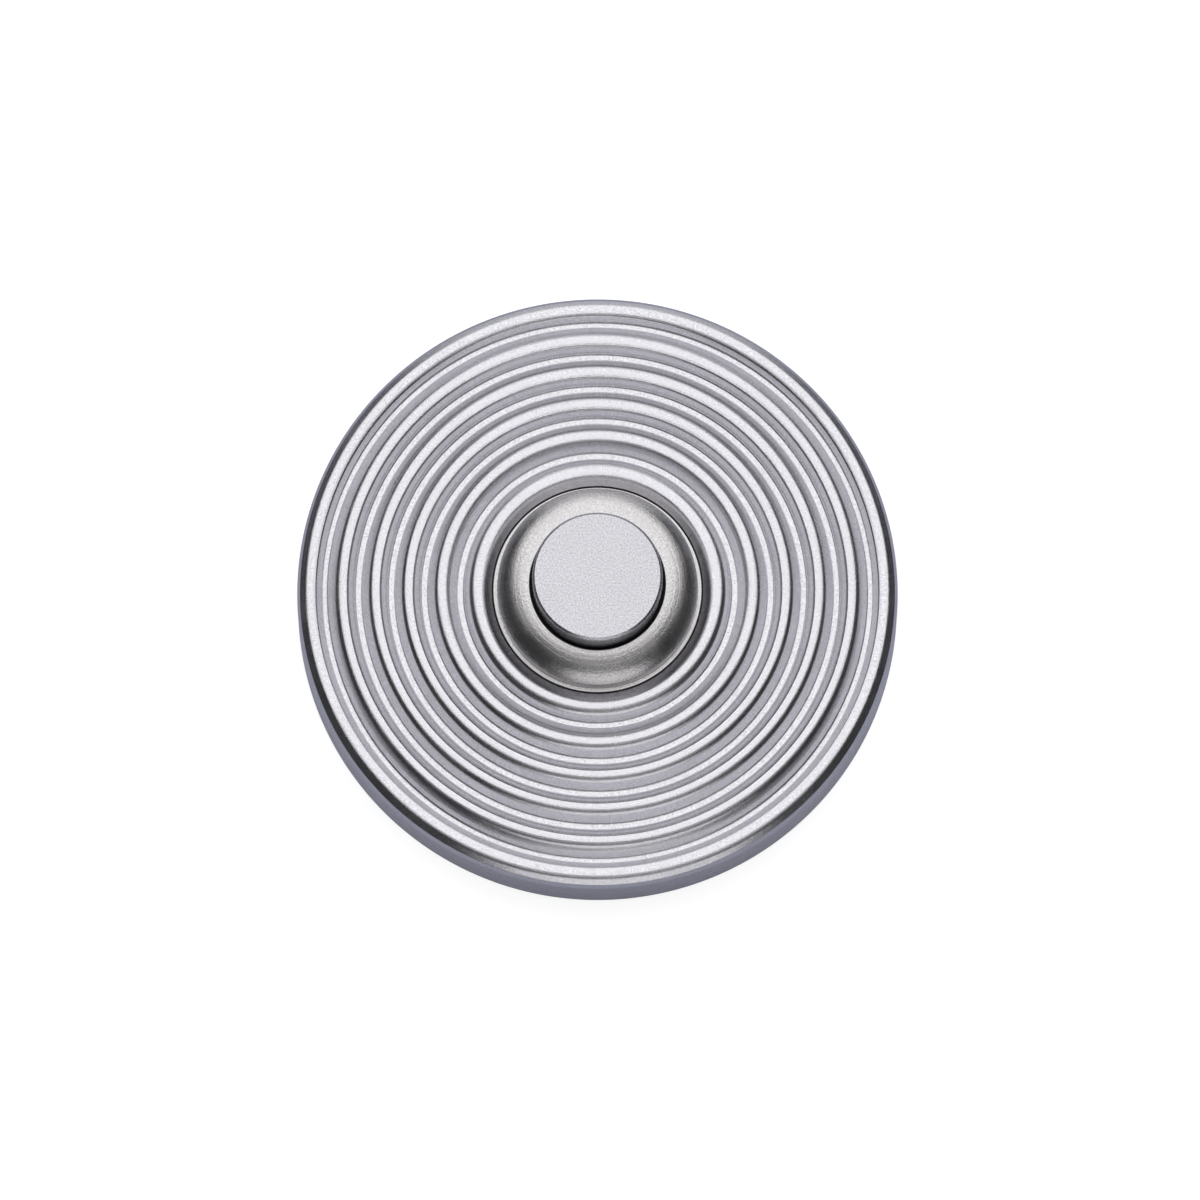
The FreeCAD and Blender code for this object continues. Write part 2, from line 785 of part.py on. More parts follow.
def bent_strip(label, side, near_bottom, far_bottom, overhang):
    """A cranked strip from one terminal pad to the middle, bent where it leaves the pad."""
    body = new_body(label)
    places = (
        (f"{side}leaf_end", near_bottom),
        (f"{side}crank_outer", near_bottom),
        (f"{side}crank_inner", far_bottom),
        (f"-({side}{overhang})", far_bottom),
    )
    lower = [corner(across, up) for across, up in places]
    upper = [corner(across, f"{up} + leaf_thickness") for across, up in reversed(places)]
    steps = lower + upper if side else upper[::-1] + lower[::-1]
    sketch = new_sketch(body, f"{label}_side", "XZ_Plane", "-leaf_width / 2")
    draw_outline(sketch, steps)
    strip = pad(body, f"{label}_strip", sketch, "leaf_width")
    DOCUMENT.recompute()
    bends = [value_of(f"{side}crank_outer"), value_of(f"{side}crank_inner")]
    names = []
    for number, edge in enumerate(strip.Shape.Edges, start=1):
        ends = [vertex.Point for vertex in edge.Vertexes]
        along = abs(ends[0].y - ends[1].y) > edge.Length * 0.99
        if along and any(abs(ends[0].x - bend) < 1e-6 for bend in bends):
            names.append(f"Edge{number}")
    fillet = body.newObject("PartDesign::Fillet", f"{label}_bends")
    fillet.Base = (strip, names)
    bind(fillet, "Radius", "leaf_bend_radius")
    DOCUMENT.recompute()
    hole = new_sketch(body, f"{label}_hole", "XY_Plane", f"{near_bottom} + leaf_thickness")
    draw_circle(hole, f"{side}terminal_radius", "0", "terminal_hole_radius")
    pocket(body, f"{label}_screw_hole", hole, "leaf_thickness")
    return body


def build_moving_contact():
    """The springy leaf over the middle, with a pressed dimple that makes the contact."""
    body = bent_strip("moving_contact", "", "pad_top", "leaf_bottom", "leaf_overhang")
    steps = [
        corner("0", "dimple_bottom"),
        arc_from("dimple_radius / 3", "dimple_bottom", "dimple_radius"),
        corner("dimple_radius", "leaf_bottom"),
        corner("dimple_radius", "leaf_bottom + leaf_thickness / 2"),
        corner("0", "leaf_bottom + leaf_thickness / 2"),
    ]
    turn(body, "dimple", steps)
    return body


def build_fixed_contact():
    """The strip on the floor of the base, under the leaf's dimple."""
    return bent_strip("fixed_contact", "-", "pad_top", "floor_top", "leaf_overhang")


def build_screw(label, kind, across, up, seat):
    """A slotted cheese-head screw with its head seated at the given height."""
    body = new_body(label)
    steps = [
        corner("0", f"-{kind}_shank_length"),
        corner(f"{kind}_shank_radius", f"-{kind}_shank_length"),
        corner(f"{kind}_shank_radius", "0"),
        corner(f"{kind}_head_radius", "0"),
        corner(f"{kind}_head_radius", f"{kind}_head_height"),
        corner("0", f"{kind}_head_height"),
    ]
    turn(body, f"{label}_blank", steps)
    slot = new_sketch(body, f"{label}_slot", "XY_Plane", f"{kind}_head_height")
    reach = f"{kind}_head_radius + slot_width"
    sides = (f"-({reach})", reach, "-slot_width / 2", "slot_width / 2")
    draw_outline(slot, rectangle(*sides))
    pocket(body, f"{label}_slot_cut", slot, "slot_depth")
    return place(body, across, up, seat)


def build_terminal(hand, side):
    """One terminal: a brass insert in the moulding, a washer and a screw."""
    across = f"{side}terminal_radius"
    insert = ring(f"terminal_insert_{hand}", "insert_bore", "insert_radius", "insert_bottom", "pad_top")
    washer = ring(
        f"terminal_washer_{hand}",
        "terminal_hole_radius",
        "terminal_washer_radius",
        "washer_bottom",
        "terminal_seat",
    )
    screw = build_screw(f"terminal_screw_{hand}", "terminal", across, "0", "terminal_seat")
    return [place(insert, across), place(washer, across), screw]


def build_all():
    """Build every sub-part in the order in which the push is put together."""
    parts = [
        build_back_plate(),
        build_contact_base(),
        build_moving_contact(),
        build_fixed_contact(),
        build_rose(),
        build_collar(),
        build_lock_washer(),
        build_ring_nut(),
        build_push_button(),
        build_plunger_tip(),
        build_return_spring(),
        build_spring_seat(),
        build_retaining_ring(),
    ]
    for hand, side in (("right", ""), ("left", "-")):
        parts += build_terminal(hand, side)
    for name, side in (("upper", ""), ("lower", "-")):
        up = f"{side}base_screw_radius"
        parts.append(build_screw(f"base_screw_{name}", "base", "0", up, "base_flange_top"))
    return parts


def check_all(parts):
    """Stop if an object of the document failed or a sub-part is not one valid solid."""
    for item in DOCUMENT.Objects:
        if "Invalid" in item.State or "Error" in item.State:
            raise ValueError(f"{item.Label}: {item.State}")
    for body in parts:
        shape = body.Shape
        if shape.isNull() or not shape.isValid() or len(shape.Solids) != 1:
            raise ValueError(f"{body.Label}: not one valid solid")


def write_all(parts):
    """Write one STEP file per sub-part."""
    os.makedirs("parts", exist_ok=True)
    for body in parts:
        body.Shape.exportStep(os.path.join("parts", f"{body.Label}.step"))


fill_sheet()
PARTS = build_all()
DOCUMENT.recompute()
check_all(PARTS)
write_all(PARTS)
print(f"{len(PARTS)} sub-parts written")
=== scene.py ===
import logging
import math
from dataclasses import dataclass
from enum import Enum

import bmesh
import bpy
import numpy as np
from mathutils import Matrix, Vector


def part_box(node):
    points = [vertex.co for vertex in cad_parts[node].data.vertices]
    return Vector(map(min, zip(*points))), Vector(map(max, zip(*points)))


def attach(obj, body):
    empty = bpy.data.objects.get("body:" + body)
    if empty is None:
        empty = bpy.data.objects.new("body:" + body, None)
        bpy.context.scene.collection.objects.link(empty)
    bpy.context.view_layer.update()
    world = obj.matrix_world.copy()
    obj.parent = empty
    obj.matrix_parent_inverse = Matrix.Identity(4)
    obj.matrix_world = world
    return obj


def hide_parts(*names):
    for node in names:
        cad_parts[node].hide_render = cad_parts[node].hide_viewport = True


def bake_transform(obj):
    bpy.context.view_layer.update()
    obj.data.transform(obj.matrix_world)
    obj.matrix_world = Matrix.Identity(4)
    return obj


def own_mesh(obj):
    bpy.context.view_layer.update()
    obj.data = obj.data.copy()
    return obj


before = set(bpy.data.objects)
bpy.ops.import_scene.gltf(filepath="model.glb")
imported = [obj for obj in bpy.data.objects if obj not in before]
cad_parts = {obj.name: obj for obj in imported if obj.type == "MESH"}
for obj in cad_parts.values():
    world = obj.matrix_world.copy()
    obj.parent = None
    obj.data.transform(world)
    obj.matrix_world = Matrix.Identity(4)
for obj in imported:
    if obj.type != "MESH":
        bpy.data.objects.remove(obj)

# A doorbell push button lying on its back: a reeded rose on a back plate, a domed collar with a
# sprung push, and the contact gear behind them. Lengths are metres, and MM turns millimetres into
# them. The frame's +Z leads out of the wall along the push and +Y leads up the wall.

MM = 0.001
LOG = logging.getLogger("doorbell")
Colour = tuple[float, float, float]

# How far the corners of the turned pieces are eased, from a close seat to a handled edge

CLOSE_EASE = 0.03 * MM
SEAT_EASE = 0.05 * MM
CROWN_EASE = 0.06 * MM
TURNED_EASE = 0.1 * MM
EDGE_EASE = 0.15 * MM
GUIDE_EASE = 0.2 * MM
INSIDE_EASE = 0.3 * MM

# Outlines and meshes

ARC_STEP = math.radians(5.5)
SMALL = 1e-9
WELD_REACH = 0.001 * MM

# Noise and bump of the finishes, and the Mix node's sockets for its two colours and its result

NOISE_DETAIL = 3.0
NOISE_ROUGHNESS = 0.6
NOISE_LOW = 0.3
NOISE_HIGH = 0.7
BRUSHED_STRETCH = 0.04
SATIN_STRETCH = 0.22
PATCHES_PER_METRE = 160.0
FLOW_MARKS_PER_METRE = 260.0
BUMP_HEIGHT = 0.02 * MM
MIX_FIRST = 6
MIX_SECOND = 7
MIX_RESULT = 2


class Body(Enum):
    """The moving bodies of the product, by their names in the frame."""

    HOUSING = "housing"
    BUTTON = "button"


class Lay(Enum):
    """How the fine marks of a finish lie on a piece."""

    TURNED = "rings about the push's axis"
    BRUSHED = "straight lines along X"
    SATIN = "short marks along X"
    PLAIN = "no direction"


# Outlines and surfaces


class Outline:
    """A section in the plane of radius and height, drawn with the material on its left."""

    def __init__(self) -> None:
        """Start an empty outline."""
        self._corners: list[tuple[float, float]] = []
        self._eases: list[float] = []

    def to(self, across: float, up: float, ease: float = 0.0) -> "Outline":
        """Add a corner whose edge is eased over a short distance.

        Args:
            across: Distance from the axis.
            up: Height.
            ease: How far before and after the corner its round begins and ends.

        Returns:
            The outline itself, so that corners can be chained.
        """
        self._corners.append((across, up))
        self._eases.append(ease)
        return self

    def arc(self, centre: tuple[float, float], radius: float, start: float, stop: float) -> "Outline":
        """Add a circular arc: the centre plus the radius times (cos, sin) of an even run of angles.

        Args:
            centre: Distance from the axis and height of the centre.
            radius: Radius of the arc.
            start: First angle, counted from the outward direction towards up.
            stop: Last angle.

        Returns:
            The outline itself.
        """
        count = max(3, 1 + math.ceil(abs(stop - start) / ARC_STEP))
        angles = np.linspace(start, stop, count)
        ring = np.column_stack((np.cos(angles), np.sin(angles))) * radius + np.array(centre)
        self._corners.extend(map(tuple, ring))
        self._eases.extend([0.0] * count)
        return self

    def arc_to(self, across: float, up: float, radius: float) -> "Outline":
        """Add a left-turning arc from the last corner to a new one.

        Args:
            across: Distance of the arc's end from the axis.
            up: Height of the arc's end.
            radius: Radius of the arc.

        Returns:
            The outline itself.
        """
        begin = np.array(self._corners[-1])
        end = np.array((across, up))
        chord = end - begin
        length = float(np.hypot(*chord))
        left = np.array((-chord[1], chord[0])) / length
        centre = (begin + end) / 2 + left * math.sqrt(radius**2 - length**2 / 4)
        start = math.atan2(*(begin - centre)[::-1])
        turn = 2 * math.asin(length / 2 / radius)
        return self.arc((float(centre[0]), float(centre[1])), radius, start, start + turn)

    def points(self, steps: int = 4, hold: float = 0.035 * MM, shortest: float = 0.21 * MM) -> np.ndarray:
        """Work out the outline with its eased corners, closed from the last corner to the first.

        An eased corner C with setback d becomes the parabola (1 - s)^2 A + 2 s (1 - s) C + s^2 B,
        where A and B lie at the distance d before and after C. Straight runs get a point close to
        either end, so that smooth shading stays flat between them.

        Args:
            steps: Spans in each eased corner.
            hold: Distance of the extra points from the ends of a straight run.
            shortest: Length of the shortest straight run that gets extra points.

        Returns:
            The points as an array of (radius, height).
        """
        corners = np.array(self._corners)
        eases = np.array(self._eases)
        to_next = np.roll(corners, -1, axis=0) - corners
        to_last = np.roll(corners, 1, axis=0) - corners
        ahead = to_next / np.maximum(np.linalg.norm(to_next, axis=1, keepdims=True), SMALL * MM)
        behind = to_last / np.maximum(np.linalg.norm(to_last, axis=1, keepdims=True), SMALL * MM)
        share = np.linspace(0.0, 1.0, steps + 1)[None, :, None]
        begin = (corners + behind * eases[:, None])[:, None, :]
        end = (corners + ahead * eases[:, None])[:, None, :]
        middle = corners[:, None, :]
        curves = (1 - share) ** 2 * begin + 2 * share * (1 - share) * middle + share**2 * end
        wanted = np.ones(curves.shape[:2], dtype=bool)
        wanted[eases == 0.0, 1:] = False
        smooth = curves[wanted]
        gap = np.roll(smooth, -1, axis=0) - smooth
        length = np.linalg.norm(gap, axis=1, keepdims=True)
        apart = length[:, 0] > SMALL
        smooth, gap, length = smooth[apart], gap[apart], length[apart]
        step = gap / length * hold
        runs = np.stack((smooth, smooth + step, smooth + gap - step), axis=1)
        kept = np.ones(runs.shape[:2], dtype=bool)
        kept[length[:, 0] < shortest, 1:] = False
        return runs[kept]


@dataclass(frozen=True)
class Surface:
    """A closed mesh as whole arrays: points in metres, and faces as rows of point numbers."""

    points: np.ndarray
    faces: tuple[np.ndarray, ...]

    def to_object(self, name: str) -> bpy.types.Object:
        """Put the arrays into a new object at the origin, smoothly shaded.

        Args:
            name: The object's name.

        Returns:
            The linked object.
        """
        mesh = bpy.data.meshes.new(name)
        corners = np.concatenate([rows.ravel() for rows in self.faces]).astype(np.int32)
        sizes = np.concatenate([np.full(len(rows), rows.shape[1]) for rows in self.faces])
        starts = np.concatenate(([0], np.cumsum(sizes)[:-1])).astype(np.int32)
        mesh.vertices.add(len(self.points))
        mesh.vertices.foreach_set("co", self.points.astype(np.float32).ravel())
        mesh.loops.add(len(corners))
        mesh.loops.foreach_set("vertex_index", corners)
        mesh.polygons.add(len(starts))
        mesh.polygons.foreach_set("loop_start", starts)
        mesh.polygons.foreach_set("use_smooth", np.ones(len(starts), dtype=bool))
        mesh.update(calc_edges=True)
        mesh.validate()
        item = bpy.data.objects.new(name, mesh)
        bpy.context.scene.collection.objects.link(item)
        return item


def grid_faces(rows: int, columns: int, close_rows: bool, close_columns: bool) -> np.ndarray:
    """Number the four-cornered faces of a grid of points.

    Face (i, j) joins the points (i, j), (i, j + 1), (i + 1, j + 1) and (i + 1, j), with the
    numbers wrapped where the grid is closed.

    Args:
        rows: Count of rows of points.
        columns: Count of points in a row.
        close_rows: Whether the last row joins the first.
        close_columns: Whether a row's last point joins its first.

    Returns:
        One row of four point numbers for each face.
    """
    i, j = np.meshgrid(
        np.arange(rows if close_rows else rows - 1),
        np.arange(columns if close_columns else columns - 1),
        indexing="ij",
    )
    below = (i + 1) % rows
    beside = (j + 1) % columns
    corners = (i * columns + j, i * columns + beside, below * columns + beside, below * columns + j)
    return np.stack([corner.ravel() for corner in corners], axis=1)


def fan(ring: np.ndarray, pole: int) -> np.ndarray:
    """Join a ring of points to one pole: each triangle takes two neighbours and the pole."""
    return np.stack((ring, np.roll(ring, -1), np.full_like(ring, pole)), axis=1)


def revolve(section: np.ndarray, segments: int = 256) -> Surface:
    """Turn a section about Z: point (i, j) is (r_i cos a_j, r_i sin a_j, z_i).

    A section whose first and last points lie on the axis is closed there by one pole each, and any
    other section is closed on itself.

    Args:
        section: Points of radius and height, with the material on the left of their order.
        segments: Steps of the angle a in a full turn.

    Returns:
        The closed surface, with its faces outward.
    """
    angles = np.linspace(0.0, 2 * math.pi, segments, endpoint=False)
    poled = bool(section[0, 0] < SMALL)
    rings = section[1:-1] if poled else section
    across = rings[:, :1] * np.cos(angles)
    along = rings[:, :1] * np.sin(angles)
    up = np.broadcast_to(rings[:, 1:], across.shape)
    points = np.stack((across, along, up), axis=-1).reshape(-1, 3)
    faces = [grid_faces(len(rings), segments, not poled, True)]
    if poled:
        poles = np.array([(0.0, 0.0, section[0, 1]), (0.0, 0.0, section[-1, 1])])
        first = np.arange(segments)
        last = first + (len(rings) - 1) * segments
        faces.append(np.concatenate((fan(first[::-1], len(points)), fan(last, len(points) + 1))))
        points = np.concatenate((points, poles))
    return Surface(points, tuple(faces))


# Finishes


class Nodes:
    """A small hand for wiring one material's nodes."""

    def __init__(self, tree: bpy.types.NodeTree) -> None:
        """Take the tree and empty it."""
        self.tree = tree
        self.tree.nodes.clear()

    def add(self, kind: str, **values: object) -> bpy.types.Node:
        """Add a node and set its properties.

        Args:
            kind: The node type after the word ShaderNode.
            values: The properties by name.

        Returns:
            The new node.
        """
        node = self.tree.nodes.new(f"ShaderNode{kind}")
        for name, value in values.items():
            setattr(node, name, value)
        return node

    def feed(self, node: bpy.types.Node, **inputs: object) -> bpy.types.Node:
        """Set or link a node's inputs, named with underscores for spaces, or i and a number.

        Args:
            node: The node whose inputs are fed.
            inputs: An output socket to link or a value to set, by input.

        Returns:
            The same node.
        """
        for name, value in inputs.items():
            key = int(name[1:]) if name[0] == "i" and name[1:].isdigit() else name.replace("_", " ")
            if isinstance(value, bpy.types.NodeSocket):
                self.tree.links.new(value, node.inputs[key])
            else:
                node.inputs[key].default_value = value
        return node


def octaves(nodes: Nodes, noise: bpy.types.Node, per_metre: float) -> bpy.types.NodeSocket:
    """Set a noise's scale and its finer octaves.

    Args:
        nodes: The material's nodes.
        noise: The noise.
        per_metre: How many marks fit into a metre.

    Returns:
        The noise's socket.
    """
    nodes.feed(noise, Scale=per_metre, Detail=NOISE_DETAIL, Roughness=NOISE_ROUGHNESS)
    return noise.outputs["Fac"]


def marks_value(nodes: Nodes, lay: Lay, per_metre: float) -> bpy.types.NodeSocket:
    """Make the fine marks of a finish as noise on Object coordinates.

    Turned marks are noise of the distance from the axis alone, brushed marks are noise stretched
    along X, satin marks are stretched less, and a plain finish has even noise.

    Args:
        nodes: The material's nodes.
        lay: How the marks lie.
        per_metre: How many marks fit into a metre.

    Returns:
        The socket with the strength of the marks, from 0 to 1.
    """
    place = nodes.add("TexCoord").outputs["Object"]
    if lay is Lay.TURNED:
        flat = nodes.feed(nodes.add("VectorMath", operation="MULTIPLY"), i0=place, i1=(1.0, 1.0, 0.0))
        radius = nodes.feed(nodes.add("VectorMath", operation="LENGTH"), i0=flat.outputs[0])
        noise = nodes.add("TexNoise", noise_dimensions="1D")
        nodes.feed(noise, W=radius.outputs["Value"])
        return octaves(nodes, noise, per_metre)
    along = {Lay.BRUSHED: BRUSHED_STRETCH, Lay.SATIN: SATIN_STRETCH}.get(lay, 1.0)
    scaled = nodes.feed(nodes.add("VectorMath", operation="MULTIPLY"), i0=place, i1=(along, 1.0, 1.0))
    noise = nodes.add("TexNoise", noise_dimensions="3D")
    nodes.feed(noise, Vector=scaled.outputs[0])
    return octaves(nodes, noise, per_metre)


def spread(nodes: Nodes, value: bpy.types.NodeSocket, low: float, high: float) -> bpy.types.NodeSocket:
    """Stretch the middle of a noise, between its usual low and high, over another range.

    Args:
        nodes: The material's nodes.
        value: The noise.
        low: The result where the noise is low.
        high: The result where the noise is high.

    Returns:
        The socket with the result.
    """
    ranged = nodes.add("MapRange")
    nodes.feed(ranged, Value=value, From_Min=NOISE_LOW, From_Max=NOISE_HIGH, To_Min=low, To_Max=high)
    return ranged.outputs["Result"]


def tinted(nodes: Nodes, value: bpy.types.NodeSocket, first: Colour, second: Colour) -> bpy.types.NodeSocket:
    """Mix two colours by a noise.

    Args:
        nodes: The material's nodes.
        value: The noise.
        first: The colour where the noise is low.
        second: The colour where the noise is high.

    Returns:
        The socket with the mixed colour.
    """
    mix = nodes.add("Mix", data_type="RGBA", blend_type="MIX")
    nodes.feed(mix, Factor=spread(nodes, value, 0.0, 1.0))
    mix.inputs[MIX_FIRST].default_value = (*first, 1.0)
    mix.inputs[MIX_SECOND].default_value = (*second, 1.0)
    return mix.outputs[MIX_RESULT]


def lifted(
    nodes: Nodes, value: bpy.types.NodeSocket, strength: float, **under: bpy.types.NodeSocket
) -> bpy.types.NodeSocket:
    """Lift the surface where a noise is high.

    Args:
        nodes: The material's nodes.
        value: The noise.
        strength: The share of the full bump height that it gives.
        under: The direction of the surface to lift, as Normal, where it is lifted already.

    Returns:
        The socket with the direction of the lifted surface.
    """
    bump = nodes.feed(nodes.add("Bump"), Height=value, Strength=strength, Distance=BUMP_HEIGHT, **under)
    return bump.outputs["Normal"]


@dataclass(frozen=True)
class GapShade:
    """Painted shade: where a piece lies in a narrow gap, its colour is near-black and its surface dull,
    standing in for the shadow in the gap.
    """

    below: float
    within: float
    tone: Colour = (0.02, 0.02, 0.022)
    roughness: float = 0.7

    def share(self, nodes: Nodes) -> bpy.types.NodeSocket:
        """Make the share of the painted shade: 1 where Z and the radius are under its limits, 0 elsewhere.

        Args:
            nodes: The material's nodes.

        Returns:
            The socket with the share.
        """
        place = nodes.add("TexCoord").outputs["Object"]
        height = nodes.feed(nodes.add("SeparateXYZ"), i0=place).outputs["Z"]
        flat = nodes.feed(nodes.add("VectorMath", operation="MULTIPLY"), i0=place, i1=(1.0, 1.0, 0.0))
        radius = nodes.feed(nodes.add("VectorMath", operation="LENGTH"), i0=flat.outputs[0])
        low = nodes.feed(nodes.add("Math", operation="LESS_THAN"), i0=height, i1=self.below)
        near = nodes.feed(
            nodes.add("Math", operation="LESS_THAN"), i0=radius.outputs["Value"], i1=self.within
        )
        both = nodes.add("Math", operation="MULTIPLY")
        return nodes.feed(both, i0=low.outputs[0], i1=near.outputs[0]).outputs[0]


@dataclass(frozen=True)
class Metal:
    """A worked metal surface: its tone, its sheen and the marks that the work left in it."""

    name: str
    tone: Colour
    roughness: float
    lay: Lay = Lay.PLAIN
    marks_per_metre: float = 9000.0
    mark_depth: float = 0.25
    grain_per_metre: float = 6000.0
    grain_depth: float = 0.2
    tone_spread: float = 0.03
    roughness_spread: float = 0.04
    # Painted shade for a piece's narrow gaps, if any.
    gap_shade: GapShade | None = None

    def build(self) -> bpy.types.Material:
        """Make the material: grain varies the tone and sheen, and marks and grain lift the surface.

        Returns:
            The material.
        """
        material = bpy.data.materials.new(self.name)
        material.use_nodes = True
        nodes = Nodes(material.node_tree)
        marks = marks_value(nodes, self.lay, self.marks_per_metre)
        grain = marks_value(nodes, Lay.PLAIN, self.grain_per_metre)
        patches = marks_value(nodes, Lay.PLAIN, PATCHES_PER_METRE)
        darker = tuple(part * (1 - self.tone_spread) for part in self.tone)
        lighter = tuple(min(1.0, part * (1 + self.tone_spread)) for part in self.tone)
        low = self.roughness - self.roughness_spread
        high = self.roughness + self.roughness_spread
        normal = lifted(nodes, grain, self.grain_depth, Normal=lifted(nodes, marks, self.mark_depth))
        shader = nodes.add("BsdfPrincipled")
        nodes.feed(
            shader,
            Base_Color=tinted(nodes, grain, darker, lighter),
            Metallic=1.0,
            Roughness=spread(nodes, patches, low, high),
            Normal=normal,
        )
        surface = shader.outputs["BSDF"]
        # Painted shade: in a narrow gap the colour turns near-black and dull, standing in for the shadow
        # there.
        if self.gap_shade:
            painted_shade = nodes.add("BsdfPrincipled")
            nodes.feed(painted_shade, Base_Color=(*self.gap_shade.tone, 1.0), Roughness=self.gap_shade.roughness)
            nodes.feed(painted_shade, Normal=normal)
            mixed = nodes.add("MixShader")
            nodes.feed(mixed, i0=self.gap_shade.share(nodes), i1=surface, i2=painted_shade.outputs["BSDF"])
            surface = mixed.outputs[0]
        nodes.feed(nodes.add("OutputMaterial"), Surface=surface)
        return material


@dataclass(frozen=True)
class Moulding:
    """A moulded plastic: its colour with slight flow marks, its sheen and its fine texture."""

    name: str
    tone: Colour
    flow_tone: Colour
    roughness: float
    texture_per_metre: float = 5000.0
    texture_depth: float = 0.2
    roughness_spread: float = 0.05
    glow: float = 0.0

    def build(self) -> bpy.types.Material:
        """Make the material: large noise mixes the tones and fine noise textures the surface.

        Returns:
            The material.
        """
        material = bpy.data.materials.new(self.name)
        material.use_nodes = True
        nodes = Nodes(material.node_tree)
        flow = marks_value(nodes, Lay.BRUSHED, FLOW_MARKS_PER_METRE)
        texture = marks_value(nodes, Lay.PLAIN, self.texture_per_metre)
        low = self.roughness - self.roughness_spread
        high = self.roughness + self.roughness_spread
        shader = nodes.add("BsdfPrincipled")
        nodes.feed(
            shader,
            Base_Color=tinted(nodes, flow, self.tone, self.flow_tone),
            Roughness=spread(nodes, texture, low, high),
            Normal=lifted(nodes, texture, self.texture_depth),
            Subsurface_Weight=self.glow,
        )
        nodes.feed(nodes.add("OutputMaterial"), Surface=shader.outputs["BSDF"])
        return material


ROSE_SATIN = Metal(
    "rose_satin",
    tone=(0.541, 0.537, 0.568),
    roughness=0.25,
    lay=Lay.TURNED,
    marks_per_metre=5000.0,
    mark_depth=0.4,
    grain_per_metre=7500.0,
    grain_depth=0.6,
    tone_spread=0.26,
    # Painted shade in the recess round the collar's foot.
    gap_shade=GapShade(below=9.0 * MM, within=13.3 * MM),
)
COLLAR_SATIN = Metal(
    "collar_satin",
    tone=(0.490, 0.478, 0.484),
    roughness=0.27,
    lay=Lay.TURNED,
    marks_per_metre=4000.0,
    mark_depth=0.8,
    grain_per_metre=4500.0,
    grain_depth=1.2,
    tone_spread=0.2,
    # Painted shade down the bore, in the gap round the push.
    gap_shade=GapShade(below=13.08 * MM, within=8.43 * MM),
)
PUSH_SATIN = Metal(
    "push_satin",
    tone=(0.443, 0.439, 0.466),
    roughness=0.26,
    lay=Lay.SATIN,
    marks_per_metre=5500.0,
    mark_depth=1.2,
    grain_per_metre=5000.0,
    grain_depth=0.8,
    tone_spread=0.3,
    # Painted shade on the push's side below the crown, inside the collar's bore.
    gap_shade=GapShade(below=13.2 * MM, within=10.0 * MM),
)
PLATED_STEEL = Metal("plated_steel", (0.60, 0.59, 0.55), 0.34, Lay.BRUSHED)
TURNED_BRASS = Metal("turned_brass", (0.76, 0.58, 0.29), 0.28, Lay.TURNED)
SPRING_STEEL = Metal("spring_steel", (0.44, 0.44, 0.45), 0.30)
SPRUNG_BRONZE = Metal("sprung_bronze", (0.72, 0.47, 0.28), 0.26, Lay.BRUSHED)
SCREW_STEEL = Metal("screw_steel", (0.56, 0.56, 0.57), 0.30)
BLACK_MOULDING = Moulding("black_moulding", (0.018, 0.018, 0.019), (0.028, 0.027, 0.027), 0.45)
WHITE_NYLON = Moulding("white_nylon", (0.72, 0.71, 0.67), (0.78, 0.77, 0.73), 0.4, glow=0.15)


class Wardrobe:
    """Holds one material for each finish, built the first time that it is asked for."""

    def __init__(self) -> None:
        """Start with no materials."""
        self._built: dict[str, bpy.types.Material] = {}

    def of(self, finish: Metal | Moulding) -> bpy.types.Material:
        """Give the finish's material.

        Args:
            finish: The finish.

        Returns:
            Its material, which is the same one each time.
        """
        if finish.name not in self._built:
            self._built[finish.name] = finish.build()
        return self._built[finish.name]


class Fitter:
    """Puts new pieces in the place of CAD nodes, and dresses pieces and nodes in their finish."""

    def __init__(self, wardrobe: Wardrobe) -> None:
        """Keep the wardrobe from which everything is dressed."""
        self.wardrobe = wardrobe

    def finish_new(
        self, surface: Surface, name: str, node: str, body: Body, finish: Metal | Moulding
    ) -> bpy.types.Object:
        """Make a new piece that stands for a CAD node.

        Args:
            surface: Its mesh.
            name: Its name.
            node: The CAD node that it stands for.
            body: The body that it is fixed to.
            finish: What it is dressed in.

        Returns:
            The piece.
        """
        item = surface.to_object(name)
        item.data.materials.append(self.wardrobe.of(finish))
        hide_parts(node)
        LOG.info("%s: %d faces, fixed to %s", name, len(item.data.polygons), body.value)
        return item

    def dress_node(self, node: str, finish: Metal | Moulding) -> None:
        """Give a CAD node that keeps its shape a better material.

        Args:
            node: The node's name.
            finish: What it is dressed in.
        """
        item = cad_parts[node]
        for slot in item.material_slots:
            slot.material = self.wardrobe.of(finish)
        LOG.info("%s: keeps its shape, dressed in %s", node, finish.name)


def height_of(node: str) -> tuple[float, float]:
    """Return the lowest and highest Z of a CAD node."""
    low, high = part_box(node)
    return float(low[2]), float(high[2])


def reach_of(node: str) -> float:
    """Return how far a CAD node reaches from the axis along X."""
    return float(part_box(node)[1][0])


# Rose, collar and push


